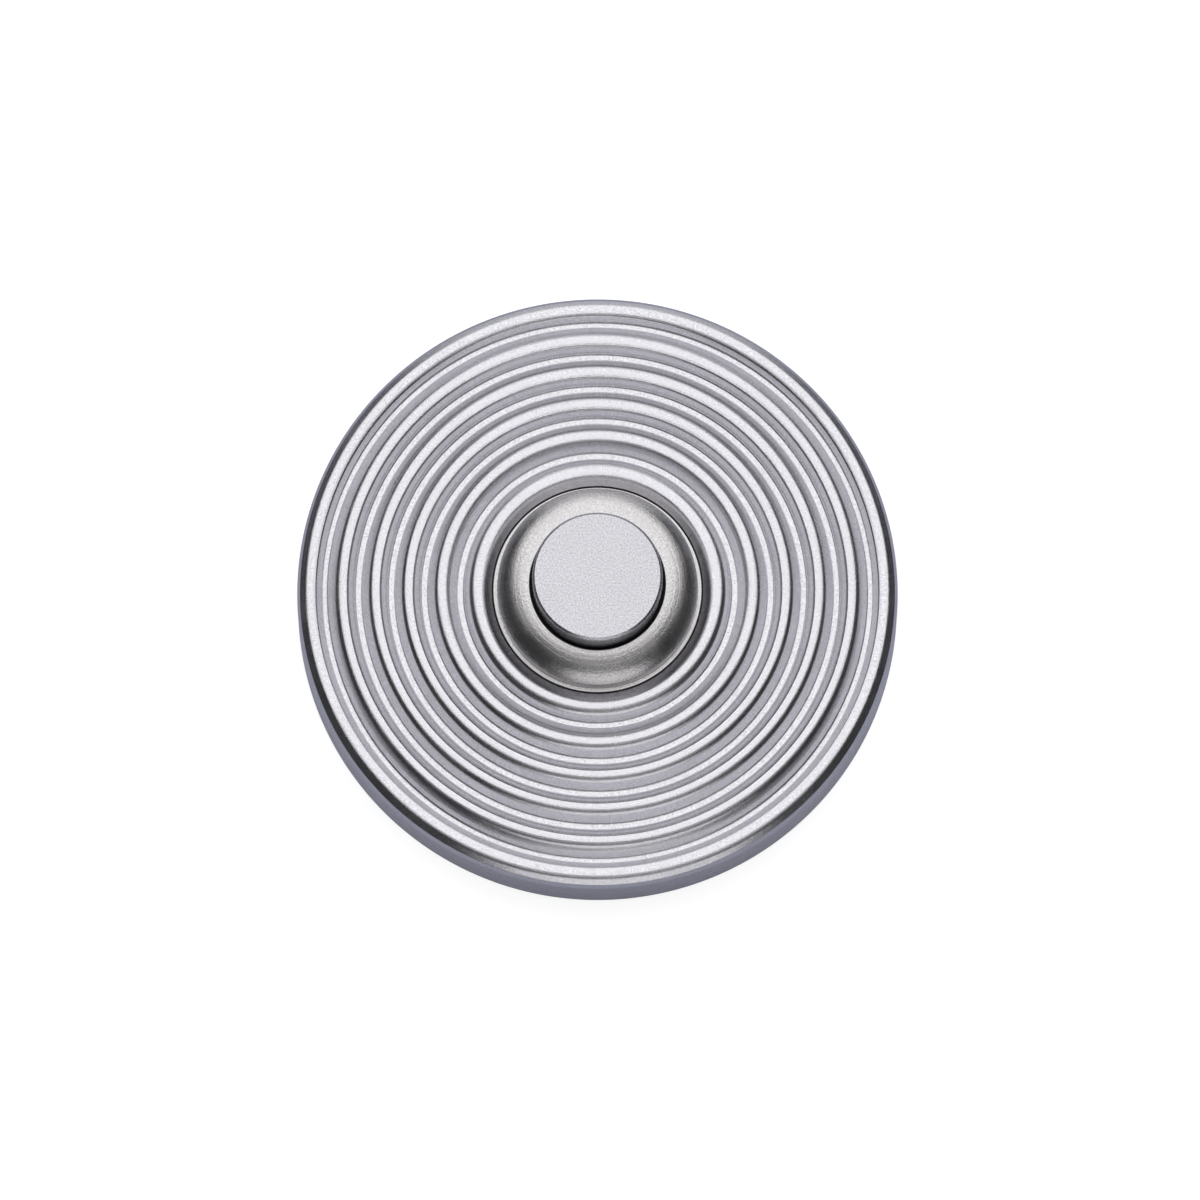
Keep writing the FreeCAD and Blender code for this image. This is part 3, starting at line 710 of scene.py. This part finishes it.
@dataclass
class Rose:
    """The round reeded face with its skirt."""

    radius: float
    crest_top: float
    wall_taper: float = 0.3 * MM
    rim_edge_inset: float = 0.65 * MM
    rim_edge_drop: float = 0.69 * MM
    rim_inset: float = 2.01 * MM
    rim_drop: float = 0.6 * MM
    rim_flank: float = 1.28 * MM
    relief: float = 1.4 * MM
    reeds: int = 4
    last_reed_radius: float = 19.48 * MM
    inner_crest_radius: float = 14.95 * MM
    crest_round_share: float = 0.66
    inner_crest_round: float = 1.6 * MM
    shoulder_share: float = 0.49
    shoulder_stand: float = 0.01 * MM
    rim_shoulder_share: float = 0.52
    rim_shoulder_stand: float = 0.033 * MM
    floor_share: float = 0.2
    rim_floor_share: float = 0.15
    rim_trough_drop: float = 0.15 * MM
    trough_shift_share: float = 0.09
    rim_trough_shift: float = 0.285 * MM
    recess_radius: float = 13.27 * MM
    recess_depth: float = 0.5 * MM
    threaded_bore: float = 11.1 * MM
    shell: float = 2.0 * MM
    skirt_bore: float = 34.7 * MM
    ease: float = 0.12 * MM
    shoulder_ease: float = 0.17 * MM
    floor_ease: float = 0.3 * MM
    ease_limit: float = 0.9

    @classmethod
    def from_frame(cls) -> "Rose":
        """Take the rose's radius and height from its CAD node."""
        return cls(radius=reach_of("rose"), crest_top=height_of("rose")[1])

    def crests(self) -> np.ndarray:
        """Work out the crests' radii: an even run from the rim inward, then the inner crest."""
        rim = self.radius - self.rim_inset
        return np.append(np.linspace(rim, self.last_reed_radius, self.reeds + 1), self.inner_crest_radius)

    @staticmethod
    def tangent_angle(
        centre: tuple[float, float], radius: float, point: tuple[float, float], side: int
    ) -> float:
        """Find where the line from a point touches a crest's circle.

        The angle is that of the point seen from the centre, plus or minus the arc cosine of the
        radius over their distance.

        Args:
            centre: The circle's centre.
            radius: The circle's radius.
            point: A point outside the circle.
            side: 1 if the circle is met counter-clockwise of the point, -1 if clockwise.

        Returns:
            The angle of the touching point, from 0 up to a full turn.
        """
        across, up = point[0] - centre[0], point[1] - centre[1]
        angle = math.atan2(up, across) + side * math.acos(radius / math.hypot(across, up))
        return angle % (2 * math.pi)

    def trough_shift(self, number: int, half_pitch: float) -> float:
        """Say how far outward of the middle between two crests a trough lies.

        Args:
            number: The trough's number, counted from the rim inward.
            half_pitch: Half the distance between two crests.

        Returns:
            The shift outward.
        """
        if number == 0:
            return self.rim_trough_shift
        return self.trough_shift_share * half_pitch if number < self.reeds else 0.0

    def outline(self) -> Outline:
        """Draw the section: the wall, then crests and troughs inward, then the inside back out.

        Returns:
            The outline.
        """
        rim_top = self.crest_top - self.rim_drop
        edge = (self.radius - self.rim_edge_inset, rim_top - self.rim_edge_drop)
        outline = Outline()
        outline.to(self.radius, 0.0, EDGE_EASE)
        outline.to(self.radius - self.wall_taper, rim_top - self.rim_flank, self.ease)
        outline.to(*edge, self.ease)
        self.draw_reeds(outline, edge, rim_top)
        self.draw_inside(outline)
        return outline

    def draw_reeds(self, outline: Outline, outer: tuple[float, float], rim_top: float) -> None:
        """Draw crests and troughs from the rim inward, each crest an arc between straight flanks.

        An outer flank rises from the floor's end, or the rim's edge, to where it touches the crest.
        The inner flank falls from a brow just off the arc, where the surface bends more sharply.
        The two innermost crests have no brow, and the last one ends at the recess.

        Args:
            outline: The section to go on with.
            outer: The rim's edge.
            rim_top: Height of the rim's crest.
        """
        trough = self.crest_top - self.relief
        crests = self.crests()
        half_pitch = float(crests[0] - crests[1]) / 2
        for number, across in enumerate(map(float, crests)):
            last = number == len(crests) - 1
            bend = self.inner_crest_round if last else half_pitch * self.crest_round_share
            centre = (across, (self.crest_top if number else rim_top) - bend)
            start = self.tangent_angle(centre, bend, outer, 1)
            bottom = trough - (0.0 if number else self.rim_trough_drop)
            if last:
                inner = (self.recess_radius, trough + self.recess_depth)
            else:
                middle = (across + float(crests[number + 1])) / 2 + self.trough_shift(number, half_pitch)
                floor = half_pitch * (self.floor_share if number else self.rim_floor_share)
                inner = (middle + floor, bottom)
            if number < self.reeds:
                share = self.shoulder_share if number else self.rim_shoulder_share
                reach = bend + (self.shoulder_stand if number else self.rim_shoulder_stand)
                brow = (across - share * reach, centre[1] + math.sqrt(1 - share**2) * reach)
                outline.arc(centre, bend, start, self.tangent_angle(centre, bend, brow, -1))
                outline.to(*brow, self.shoulder_ease)
            else:
                outline.arc(centre, bend, start, self.tangent_angle(centre, bend, inner, -1))
            if last:
                outline.to(*inner, SEAT_EASE)
            else:
                ease = min(self.floor_ease, floor * self.ease_limit)
                outer = (middle - floor, bottom)
                outline.to(*inner, ease)
                outline.to(*outer, ease)

    def draw_inside(self, outline: Outline) -> None:
        """Draw the recess, the bore and the inside out to the skirt's foot.

        Args:
            outline: The section to go on with.
        """
        trough = self.crest_top - self.relief
        underside = trough - self.shell
        outline.to(self.recess_radius, trough, SEAT_EASE)
        outline.to(self.threaded_bore, trough, TURNED_EASE)
        outline.to(self.threaded_bore, underside, TURNED_EASE)
        outline.to(self.skirt_bore, underside, INSIDE_EASE)
        outline.to(self.skirt_bore, 0.0, EDGE_EASE)

    def build(self, fitter: Fitter) -> None:
        """Turn the section about Z and dress it in satin.

        Args:
            fitter: What finishes and dresses the piece.
        """
        surface = revolve(self.outline().points())
        item = fitter.finish_new(
            surface, "rose_reeded", "rose", Body.HOUSING, ROSE_SATIN
        )
        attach(item, Body.HOUSING.value)


@dataclass
class Collar:
    """The domed collar with its threaded tail."""

    radius: float
    bottom: float
    top: float
    seat: float = 8.6 * MM
    lip_thickness: float = 0.5 * MM
    lip_width: float = 0.5 * MM
    wall_height: float = 2.2 * MM
    wall_draft: float = 0.08 * MM
    wall_share: float = 0.9
    wall_ease: float = 0.06 * MM
    shoulder_round: float = 5.7 * MM
    shoulder_inset: float = 2.18 * MM
    shoulder_drop: float = 0.52 * MM
    crown_round: float = 7.69 * MM
    crown_land: float = 0.15 * MM
    crown_bevel: float = 0.2 * MM
    bore: float = 8.4 * MM
    counterbore: float = 9.3 * MM
    ledge: float = 1.5 * MM
    tail_radius: float = 11.0 * MM
    groove_radius: float = 9.9 * MM
    groove_low: float = 5.1 * MM
    groove_high: float = 5.75 * MM

    @classmethod
    def from_frame(cls) -> "Collar":
        """Take the collar's radius and heights from its CAD node."""
        bottom, top = height_of("collar")
        return cls(radius=reach_of("collar"), bottom=bottom, top=top)

    def outline(self) -> Outline:
        """Draw the section from the tail's foot outward and up, over the dome and down the bore.

        Returns:
            The outline.
        """
        lip_top = self.seat + self.lip_thickness
        foot = self.radius - self.lip_width
        ledge = self.top - self.ledge
        outline = Outline()
        outline.to(self.counterbore, self.bottom, TURNED_EASE)
        outline.to(self.tail_radius, self.bottom, EDGE_EASE)
        outline.to(self.tail_radius, self.seat, CLOSE_EASE)
        outline.to(self.radius, self.seat, SEAT_EASE)
        outline.to(self.radius, lip_top, TURNED_EASE)
        outline.to(foot, lip_top, CROWN_EASE)
        shoulder_foot = (foot - self.wall_draft, lip_top + self.wall_height)
        outline.to(foot - self.wall_draft * self.wall_share, shoulder_foot[1] - self.wall_ease)
        outline.to(*shoulder_foot)
        outline.arc_to(foot - self.shoulder_inset, self.top - self.shoulder_drop, self.shoulder_round)
        outline.arc_to(self.bore + self.crown_land, self.top, self.crown_round)
        outline.to(self.bore, self.top - self.crown_bevel, CROWN_EASE)
        outline.to(self.bore, ledge, SEAT_EASE)
        outline.to(self.counterbore, ledge, SEAT_EASE)
        outline.to(self.counterbore, self.groove_high, SEAT_EASE)
        outline.to(self.groove_radius, self.groove_high, SEAT_EASE)
        outline.to(self.groove_radius, self.groove_low, SEAT_EASE)
        outline.to(self.counterbore, self.groove_low, SEAT_EASE)
        return outline

    def build(self, fitter: Fitter) -> None:
        """Turn the section about Z and dress it in satin.

        Args:
            fitter: What finishes and dresses the piece.
        """
        surface = revolve(self.outline().points())
        item = fitter.finish_new(
            surface, "collar_domed", "collar", Body.HOUSING, COLLAR_SATIN
        )
        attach(item, Body.HOUSING.value)


@dataclass
class Push:
    """The turned push with its flange, guide, stem and spigot."""

    bottom: float
    top: float
    flange_radius: float
    radius: float = 8.1 * MM
    edge_bevel: float = 0.3 * MM
    flange_top: float = 11.75 * MM
    flange_bottom: float = 10.35 * MM
    guide_radius: float = 5.7 * MM
    guide_bottom: float = 7.65 * MM
    stem_radius: float = 2.4 * MM
    stem_bottom: float = 6.45 * MM
    spigot_radius: float = 1.5 * MM

    @classmethod
    def from_frame(cls) -> "Push":
        """Take the push's heights and its flange's radius from its CAD node."""
        bottom, top = height_of("push_button")
        return cls(bottom=bottom, top=top, flange_radius=reach_of("push_button"))

    def outline(self) -> Outline:
        """Draw the section from the spigot's end outward and up to the middle of the face.

        Returns:
            The outline.
        """
        outline = Outline()
        outline.to(0.0, self.bottom)
        outline.to(self.spigot_radius, self.bottom, TURNED_EASE)
        outline.to(self.spigot_radius, self.stem_bottom, CLOSE_EASE)
        outline.to(self.stem_radius, self.stem_bottom, TURNED_EASE)
        outline.to(self.stem_radius, self.guide_bottom, TURNED_EASE)
        outline.to(self.guide_radius, self.guide_bottom, GUIDE_EASE)
        outline.to(self.guide_radius, self.flange_bottom, TURNED_EASE)
        outline.to(self.flange_radius, self.flange_bottom, TURNED_EASE)
        outline.to(self.flange_radius, self.flange_top, TURNED_EASE)
        outline.to(self.radius, self.flange_top, TURNED_EASE)
        outline.to(self.radius, self.top - self.edge_bevel, TURNED_EASE)
        outline.to(self.radius - self.edge_bevel, self.top, TURNED_EASE)
        outline.to(0.0, self.top)
        return outline

    def build(self, fitter: Fitter) -> None:
        """Turn the section about Z and dress it in satin.

        Args:
            fitter: What finishes and dresses the piece.
        """
        surface = revolve(self.outline().points())
        item = fitter.finish_new(
            surface, "push_turned", "push_button", Body.BUTTON, PUSH_SATIN
        )
        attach(item, Body.BUTTON.value)


# Spring and leaf


@dataclass
class ReturnSpring:
    """The compression spring that lifts the push."""

    bottom: float
    top: float
    mean_radius: float = 6.35 * MM
    wire_radius: float = 0.35 * MM
    turns: float = 2.5
    dead_share: float = 0.1
    keep: float = 0.66

    @classmethod
    def from_frame(cls) -> "ReturnSpring":
        """Take the spring's heights from its CAD node."""
        bottom, top = height_of("return_spring")
        return cls(bottom=bottom, top=top)

    def surface(self, along: int = 300, around: int = 16) -> Surface:
        """Carry a circle along a helix whose ends lie flat.

        The centre at the angle a is (R cos a, R sin a, h), where h rises evenly with the share s
        of the live turns, held flat over the dead ends. A point of the wire lies at the wire's
        radius from the centre, in the plane of the outward direction and the direction square to
        it and to the path. Each end is closed by a fan.

        Args:
            along: Points along the helix.
            around: Points round the wire.

        Returns:
            The closed tube.
        """
        share = np.linspace(0.0, 1.0, along)
        angle = 2 * math.pi * self.turns * share
        live = np.clip((share - self.dead_share) / (1 - 2 * self.dead_share), 0.0, 1.0)
        height = self.bottom + self.wire_radius
        height = height + (self.top - self.bottom - 2 * self.wire_radius) * live
        outward = np.column_stack((np.cos(angle), np.sin(angle), np.zeros(along)))
        centre = outward * self.mean_radius + np.column_stack((np.zeros((along, 2)), height))
        path = np.gradient(centre, axis=0)
        path /= np.linalg.norm(path, axis=1, keepdims=True)
        square = np.cross(outward, path)
        turn = np.linspace(0.0, 2 * math.pi, around, endpoint=False)
        offset = outward[:, None, :] * np.cos(turn)[None, :, None]
        offset = offset + square[:, None, :] * np.sin(turn)[None, :, None]
        tube = (centre[:, None, :] + self.wire_radius * offset).reshape(-1, 3)
        ends = centre[[0, -1]]
        ring = np.arange(around)
        caps = (fan(ring[::-1], len(tube)), fan(ring + (along - 1) * around, len(tube) + 1))
        faces = grid_faces(along, around, False, True)
        return Surface(np.concatenate((tube, ends)), (faces, np.concatenate(caps)))

    def build(self, fitter: Fitter) -> None:
        """Coil the spring, fix it to the housing and give it a mesh of its own.

        Args:
            fitter: What finishes and dresses the piece.
        """
        item = fitter.finish_new(
            self.surface(), "spring_coiled", "return_spring", Body.HOUSING, SPRING_STEEL
        )
        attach(item, Body.HOUSING.value)
        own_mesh(item)


@dataclass
class Leaf:
    """The springy leaf over the middle of the contact base."""

    end: float
    bottom: float
    top: float
    tip: float
    half_width: float = 2.5 * MM
    thickness: float = 0.3 * MM
    hole_centre: float = 16.0 * MM
    hole_radius: float = 1.6 * MM
    crank_outer: float = 12.2 * MM
    crank_inner: float = 10.2 * MM
    dimple_radius: float = 1.2 * MM
    dimple_depth: float = 0.4 * MM
    tongue_reach: float = 3.0 * MM

    @classmethod
    def from_frame(cls) -> "Leaf":
        """Take the leaf's ends and heights from its CAD node."""
        low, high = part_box("moving_contact")
        return cls(end=float(high[0]), bottom=float(low[2]), top=float(high[2]), tip=float(low[0]))

    def surface(self, along: int = 220, across: int = 14) -> Surface:
        """Bend a strip along its side view, with a round hole and a pressed dimple.

        At the distance x the strip's middle surface has the height of a straight ramp between the
        foot and the tongue. Each half of the strip runs from the hole's edge, the root of
        r^2 - (x - c)^2, or the middle line where there is no hole, out to the strip's side. The
        dimple lowers it by its depth times (1 - (d / R)^2)^2 within the distance R of the axis.
        The two skins lie half the thickness above and below.

        Args:
            along: Points along the strip.
            across: Points across each half.

        Returns:
            The closed strip.
        """
        blend = np.linspace(0.0, 1.0, along)
        x = self.end + (self.tip - self.end) * blend
        hole_low, hole_high = self.hole_centre - self.hole_radius, self.hole_centre + self.hole_radius
        x = np.sort(np.append(x, (hole_low, hole_high)))[::-1]
        rise = np.clip((self.crank_outer - x) / (self.crank_outer - self.crank_inner), 0.0, 1.0)
        foot = self.bottom + self.thickness / 2
        middle = foot + (self.top - self.bottom - self.thickness) * rise
        slope = np.gradient(middle, x)
        lean = np.column_stack((-slope, np.ones_like(slope)))
        lean /= np.linalg.norm(lean, axis=1, keepdims=True)
        opening = np.sqrt(np.maximum(self.hole_radius**2 - (x - self.hole_centre) ** 2, 0.0))
        share = np.linspace(0.0, 1.0, across)
        side = opening[:, None] + (self.half_width - opening[:, None]) * share[None, :]
        y = np.concatenate((-side[:, ::-1], side), axis=1)
        squared = (x[:, None] ** 2 + y**2) / self.dimple_radius**2
        dent = self.dimple_depth * np.maximum(1 - squared, 0.0) ** 2
        skins = []
        for hand in (-0.5, 0.5):
            shift = hand * self.thickness
            skins.append(
                np.stack(
                    (
                        np.broadcast_to((x + lean[:, 0] * shift)[:, None], y.shape),
                        y,
                        (middle + lean[:, 1] * shift)[:, None] - dent,
                    ),
                    axis=-1,
                )
            )
        rows, columns = y.shape
        points = np.concatenate([skin.reshape(-1, 3) for skin in skins])
        under = grid_faces(rows, columns, False, False)
        centre_column = under[:, 0] % columns == across - 1
        under = under[~centre_column]
        over = under[:, ::-1] + rows * columns
        walls = [self.wall(rows, columns, 0), self.wall(rows, columns, columns - 1)[:, ::-1]]
        open_rows = (opening[:-1] > 0) | (opening[1:] > 0)
        walls.append(self.wall(rows, columns, across - 1)[open_rows][:, ::-1])
        walls.append(self.wall(rows, columns, across)[open_rows])
        ends = [self.end_wall(columns, 0, rows), self.end_wall(columns, rows - 1, rows)[:, ::-1]]
        return Surface(points, (np.concatenate((under, over, *walls, *ends)),))

    @staticmethod
    def wall(rows: int, columns: int, column: int) -> np.ndarray:
        """Number the faces that join the two skins along one column of points.

        Args:
            rows: Count of rows of points in a skin.
            columns: Count of points in a row.
            column: The column's number.

        Returns:
            One row of four point numbers for each face.
        """
        low = np.arange(rows - 1) * columns + column
        high = low + rows * columns
        return np.stack((low, low + columns, high + columns, high), axis=1)

    @staticmethod
    def end_wall(columns: int, row: int, rows: int) -> np.ndarray:
        """Number the faces that join the two skins along one row of points.

        Args:
            columns: Count of points in a row.
            row: The row's number.
            rows: Count of rows of points in a skin.

        Returns:
            One row of four point numbers for each face.
        """
        low = row * columns + np.arange(columns - 1)
        high = low + rows * columns
        return np.stack((low, high, high + 1, low + 1), axis=1)

    def build(self, fitter: Fitter) -> None:
        """Bend the leaf and close its middle line.

        Args:
            fitter: What finishes and dresses the piece.
        """
        item = fitter.finish_new(
            self.surface(), "leaf_sprung", "moving_contact", Body.HOUSING, SPRUNG_BRONZE
        )
        weld(item)
        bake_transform(item)


def weld(item: bpy.types.Object) -> None:
    """Merge points that lie on each other and turn every face outward.

    Args:
        item: The piece whose mesh is closed.
    """
    work = bmesh.new()
    work.from_mesh(item.data)
    bmesh.ops.remove_doubles(work, verts=work.verts, dist=WELD_REACH)
    bmesh.ops.recalc_face_normals(work, faces=work.faces)
    work.to_mesh(item.data)
    work.free()
    item.data.update()


# Gear behind the face, which keeps its CAD shape


class Gear:
    """The nodes that keep their shape, with the finish of each."""

    @staticmethod
    def finishes() -> dict[str, Metal | Moulding]:
        """List the finish of each node that keeps its shape.

        Returns:
            The finishes by node.
        """
        worn: dict[str, Metal | Moulding] = {
            "back_plate": PLATED_STEEL,
            "contact_base": BLACK_MOULDING,
            "fixed_contact": SPRUNG_BRONZE,
            "lock_washer": PLATED_STEEL,
            "ring_nut": TURNED_BRASS,
            "spring_seat": PLATED_STEEL,
            "retaining_ring": SPRING_STEEL,
            "plunger_tip": WHITE_NYLON,
        }
        for hand in ("left", "right"):
            worn[f"terminal_insert_{hand}"] = TURNED_BRASS
            worn[f"terminal_washer_{hand}"] = TURNED_BRASS
            worn[f"terminal_screw_{hand}"] = TURNED_BRASS
        for place in ("upper", "lower"):
            worn[f"base_screw_{place}"] = SCREW_STEEL
        return worn

    def build(self, fitter: Fitter) -> None:
        """Dress each node in its finish.

        Args:
            fitter: What dresses the nodes.
        """
        for node, finish in self.finishes().items():
            fitter.dress_node(node, finish)


# Studio


@dataclass(frozen=True)
class Lamp:
    """A soft oval light that faces the product: where it hangs, its size and how bright it is."""

    name: str
    lean: float
    distance: float
    half_width: float
    half_height: float
    radiance: float
    aside: float = 0.0
    mirrored: bool = True

    def hang(self) -> None:
        """Hang the lamp out of the camera's sight, leaning from straight above towards +Y."""
        lamp = bpy.data.lights.new(self.name, "AREA")
        lamp.shape = "ELLIPSE"
        lamp.size = 2 * self.half_width
        lamp.size_y = 2 * self.half_height
        lamp.energy = math.pi * self.radiance * math.pi * self.half_width * self.half_height
        item = bpy.data.objects.new(self.name, lamp)
        along = self.distance * math.sin(self.lean)
        item.location = (self.aside, along, self.distance * math.cos(self.lean))
        item.rotation_euler = (-self.lean, 0.0, 0.0)
        bpy.context.scene.collection.objects.link(item)
        item.visible_camera = False
        item.visible_glossy = self.mirrored


LAMPS = (
    Lamp("soft_light", math.radians(28), distance=0.9, half_width=0.9, half_height=0.9, radiance=1.53),
    Lamp("front_card", math.radians(-68), 1.0, 0.58, 0.30, 1.15, aside=0.14),
    Lamp("front_glow", math.radians(-29), 0.95, 0.45, 0.24, 0.4, aside=0.11),
    Lamp("back_strip", math.radians(82), 0.95, 0.62, 0.14, 0.85),
    Lamp("under_light", math.radians(180), 0.7, 1.1, 1.1, 0.9),
    Lamp("floor_fill", math.radians(-55), 1.1, 0.5, 0.3, 1.2, mirrored=False),
)


@dataclass
class Studio:
    """Floor, soft light and camera."""

    sky: float = 0.045
    floor_size: float = 4.0
    floor_hole: float = 37.84 * MM
    floor_segments: int = 256
    floor_tone: Colour = (0.50, 0.51, 0.60)
    floor_glow: Colour = (0.71, 0.707, 0.665)
    camera_elevation: float = math.radians(79)
    camera_distance: float = 734.0 * MM
    camera_lens: float = 173.5
    camera_sensor: float = 36.0
    camera_near: float = 0.01
    aim_right: float = 0.317 * MM
    aim_up: float = 0.431 * MM

    def build(self) -> None:
        """Set up the floor, the light, the sky and the camera."""
        self.build_floor()
        for lamp in LAMPS:
            lamp.hang()
        self.build_sky()
        self.build_camera()
        bpy.context.scene.view_settings.view_transform = "Standard"

    def build_floor(self) -> None:
        """Lay a floor at the wall face that looks white and keeps the object's shadow.

        It is a flat ring, (r_i cos a_j, r_i sin a_j, 0), that begins just inside the rose's foot, so
        that the back of the product can be seen from below.
        """
        angles = np.linspace(0.0, 2 * math.pi, self.floor_segments, endpoint=False)
        radii = np.array((self.floor_size / 2, self.floor_hole))[:, None]
        rings = (radii * np.cos(angles), radii * np.sin(angles), np.zeros((2, self.floor_segments)))
        points = np.stack(rings, axis=-1).reshape(-1, 3)
        faces = grid_faces(2, self.floor_segments, False, True)
        floor = Surface(points, (faces,)).to_object("floor")
        floor.data.materials.append(self.floor_paper())

    def floor_paper(self) -> bpy.types.Material:
        """Make the floor's material: grey paper that glows to the camera and is clear from below.

        Returns:
            The material.
        """
        material = bpy.data.materials.new("floor_paper")
        material.use_nodes = True
        nodes = Nodes(material.node_tree)
        ray = nodes.add("LightPath")
        side = nodes.add("NewGeometry")
        grey = nodes.feed(nodes.add("BsdfDiffuse"), Color=(*self.floor_tone, 1.0))
        glow = nodes.feed(nodes.add("Emission"), Color=(*self.floor_glow, 1.0), Strength=1.0)
        lit = nodes.feed(nodes.add("AddShader"), i0=grey.outputs[0], i1=glow.outputs[0])
        seen = nodes.feed(
            nodes.add("MixShader"), i0=ray.outputs["Is Camera Ray"], i1=grey.outputs[0], i2=lit.outputs[0]
        )
        clear = nodes.add("BsdfTransparent")
        sided = nodes.feed(
            nodes.add("MixShader"), i0=side.outputs["Backfacing"], i1=seen.outputs[0], i2=clear.outputs[0]
        )
        nodes.feed(nodes.add("OutputMaterial"), Surface=sided.outputs[0])
        return material

    def build_sky(self) -> None:
        """Make the world white to the camera and dim to everything else."""
        world = bpy.data.worlds.new("studio")
        bpy.context.scene.world = world
        world.use_nodes = True
        nodes = Nodes(world.node_tree)
        ray = nodes.add("LightPath")
        dim = nodes.feed(nodes.add("Background"), Color=(1.0, 1.0, 1.0, 1.0), Strength=self.sky)
        white = nodes.feed(nodes.add("Background"), Color=(1.0, 1.0, 1.0, 1.0), Strength=1.0)
        seen = nodes.feed(
            nodes.add("MixShader"), i0=ray.outputs["Is Camera Ray"], i1=dim.outputs[0], i2=white.outputs[0]
        )
        nodes.feed(nodes.add("OutputWorld"), Surface=seen.outputs[0])

    def build_camera(self) -> None:
        """Place the camera at the photograph's angle, with the bottom of the rose nearer."""
        lens = bpy.data.cameras.new("camera")
        lens.lens = self.camera_lens
        lens.sensor_width = self.camera_sensor
        lens.clip_start = self.camera_near
        right = Vector((1.0, 0.0, 0.0))
        back = Vector((0.0, -math.cos(self.camera_elevation), math.sin(self.camera_elevation)))
        up = back.cross(right)
        place = right * self.aim_right + up * self.aim_up + back * self.camera_distance
        turn = Matrix((right, up, back)).transposed().to_4x4()
        camera = bpy.data.objects.new("camera", lens)
        camera.matrix_world = Matrix.Translation(place) @ turn
        bpy.context.scene.collection.objects.link(camera)
        bpy.context.scene.camera = camera


def main() -> None:
    """Build the product piece by piece and the studio round it, and log each piece."""
    logging.basicConfig(level=logging.INFO, format="%(name)s: %(message)s")
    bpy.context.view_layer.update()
    fitter = Fitter(Wardrobe())
    Gear().build(fitter)
    Rose.from_frame().build(fitter)
    Collar.from_frame().build(fitter)
    Push.from_frame().build(fitter)
    ReturnSpring.from_frame().build(fitter)
    Leaf.from_frame().build(fitter)
    Studio().build()


if __name__ == "__main__":
    main()
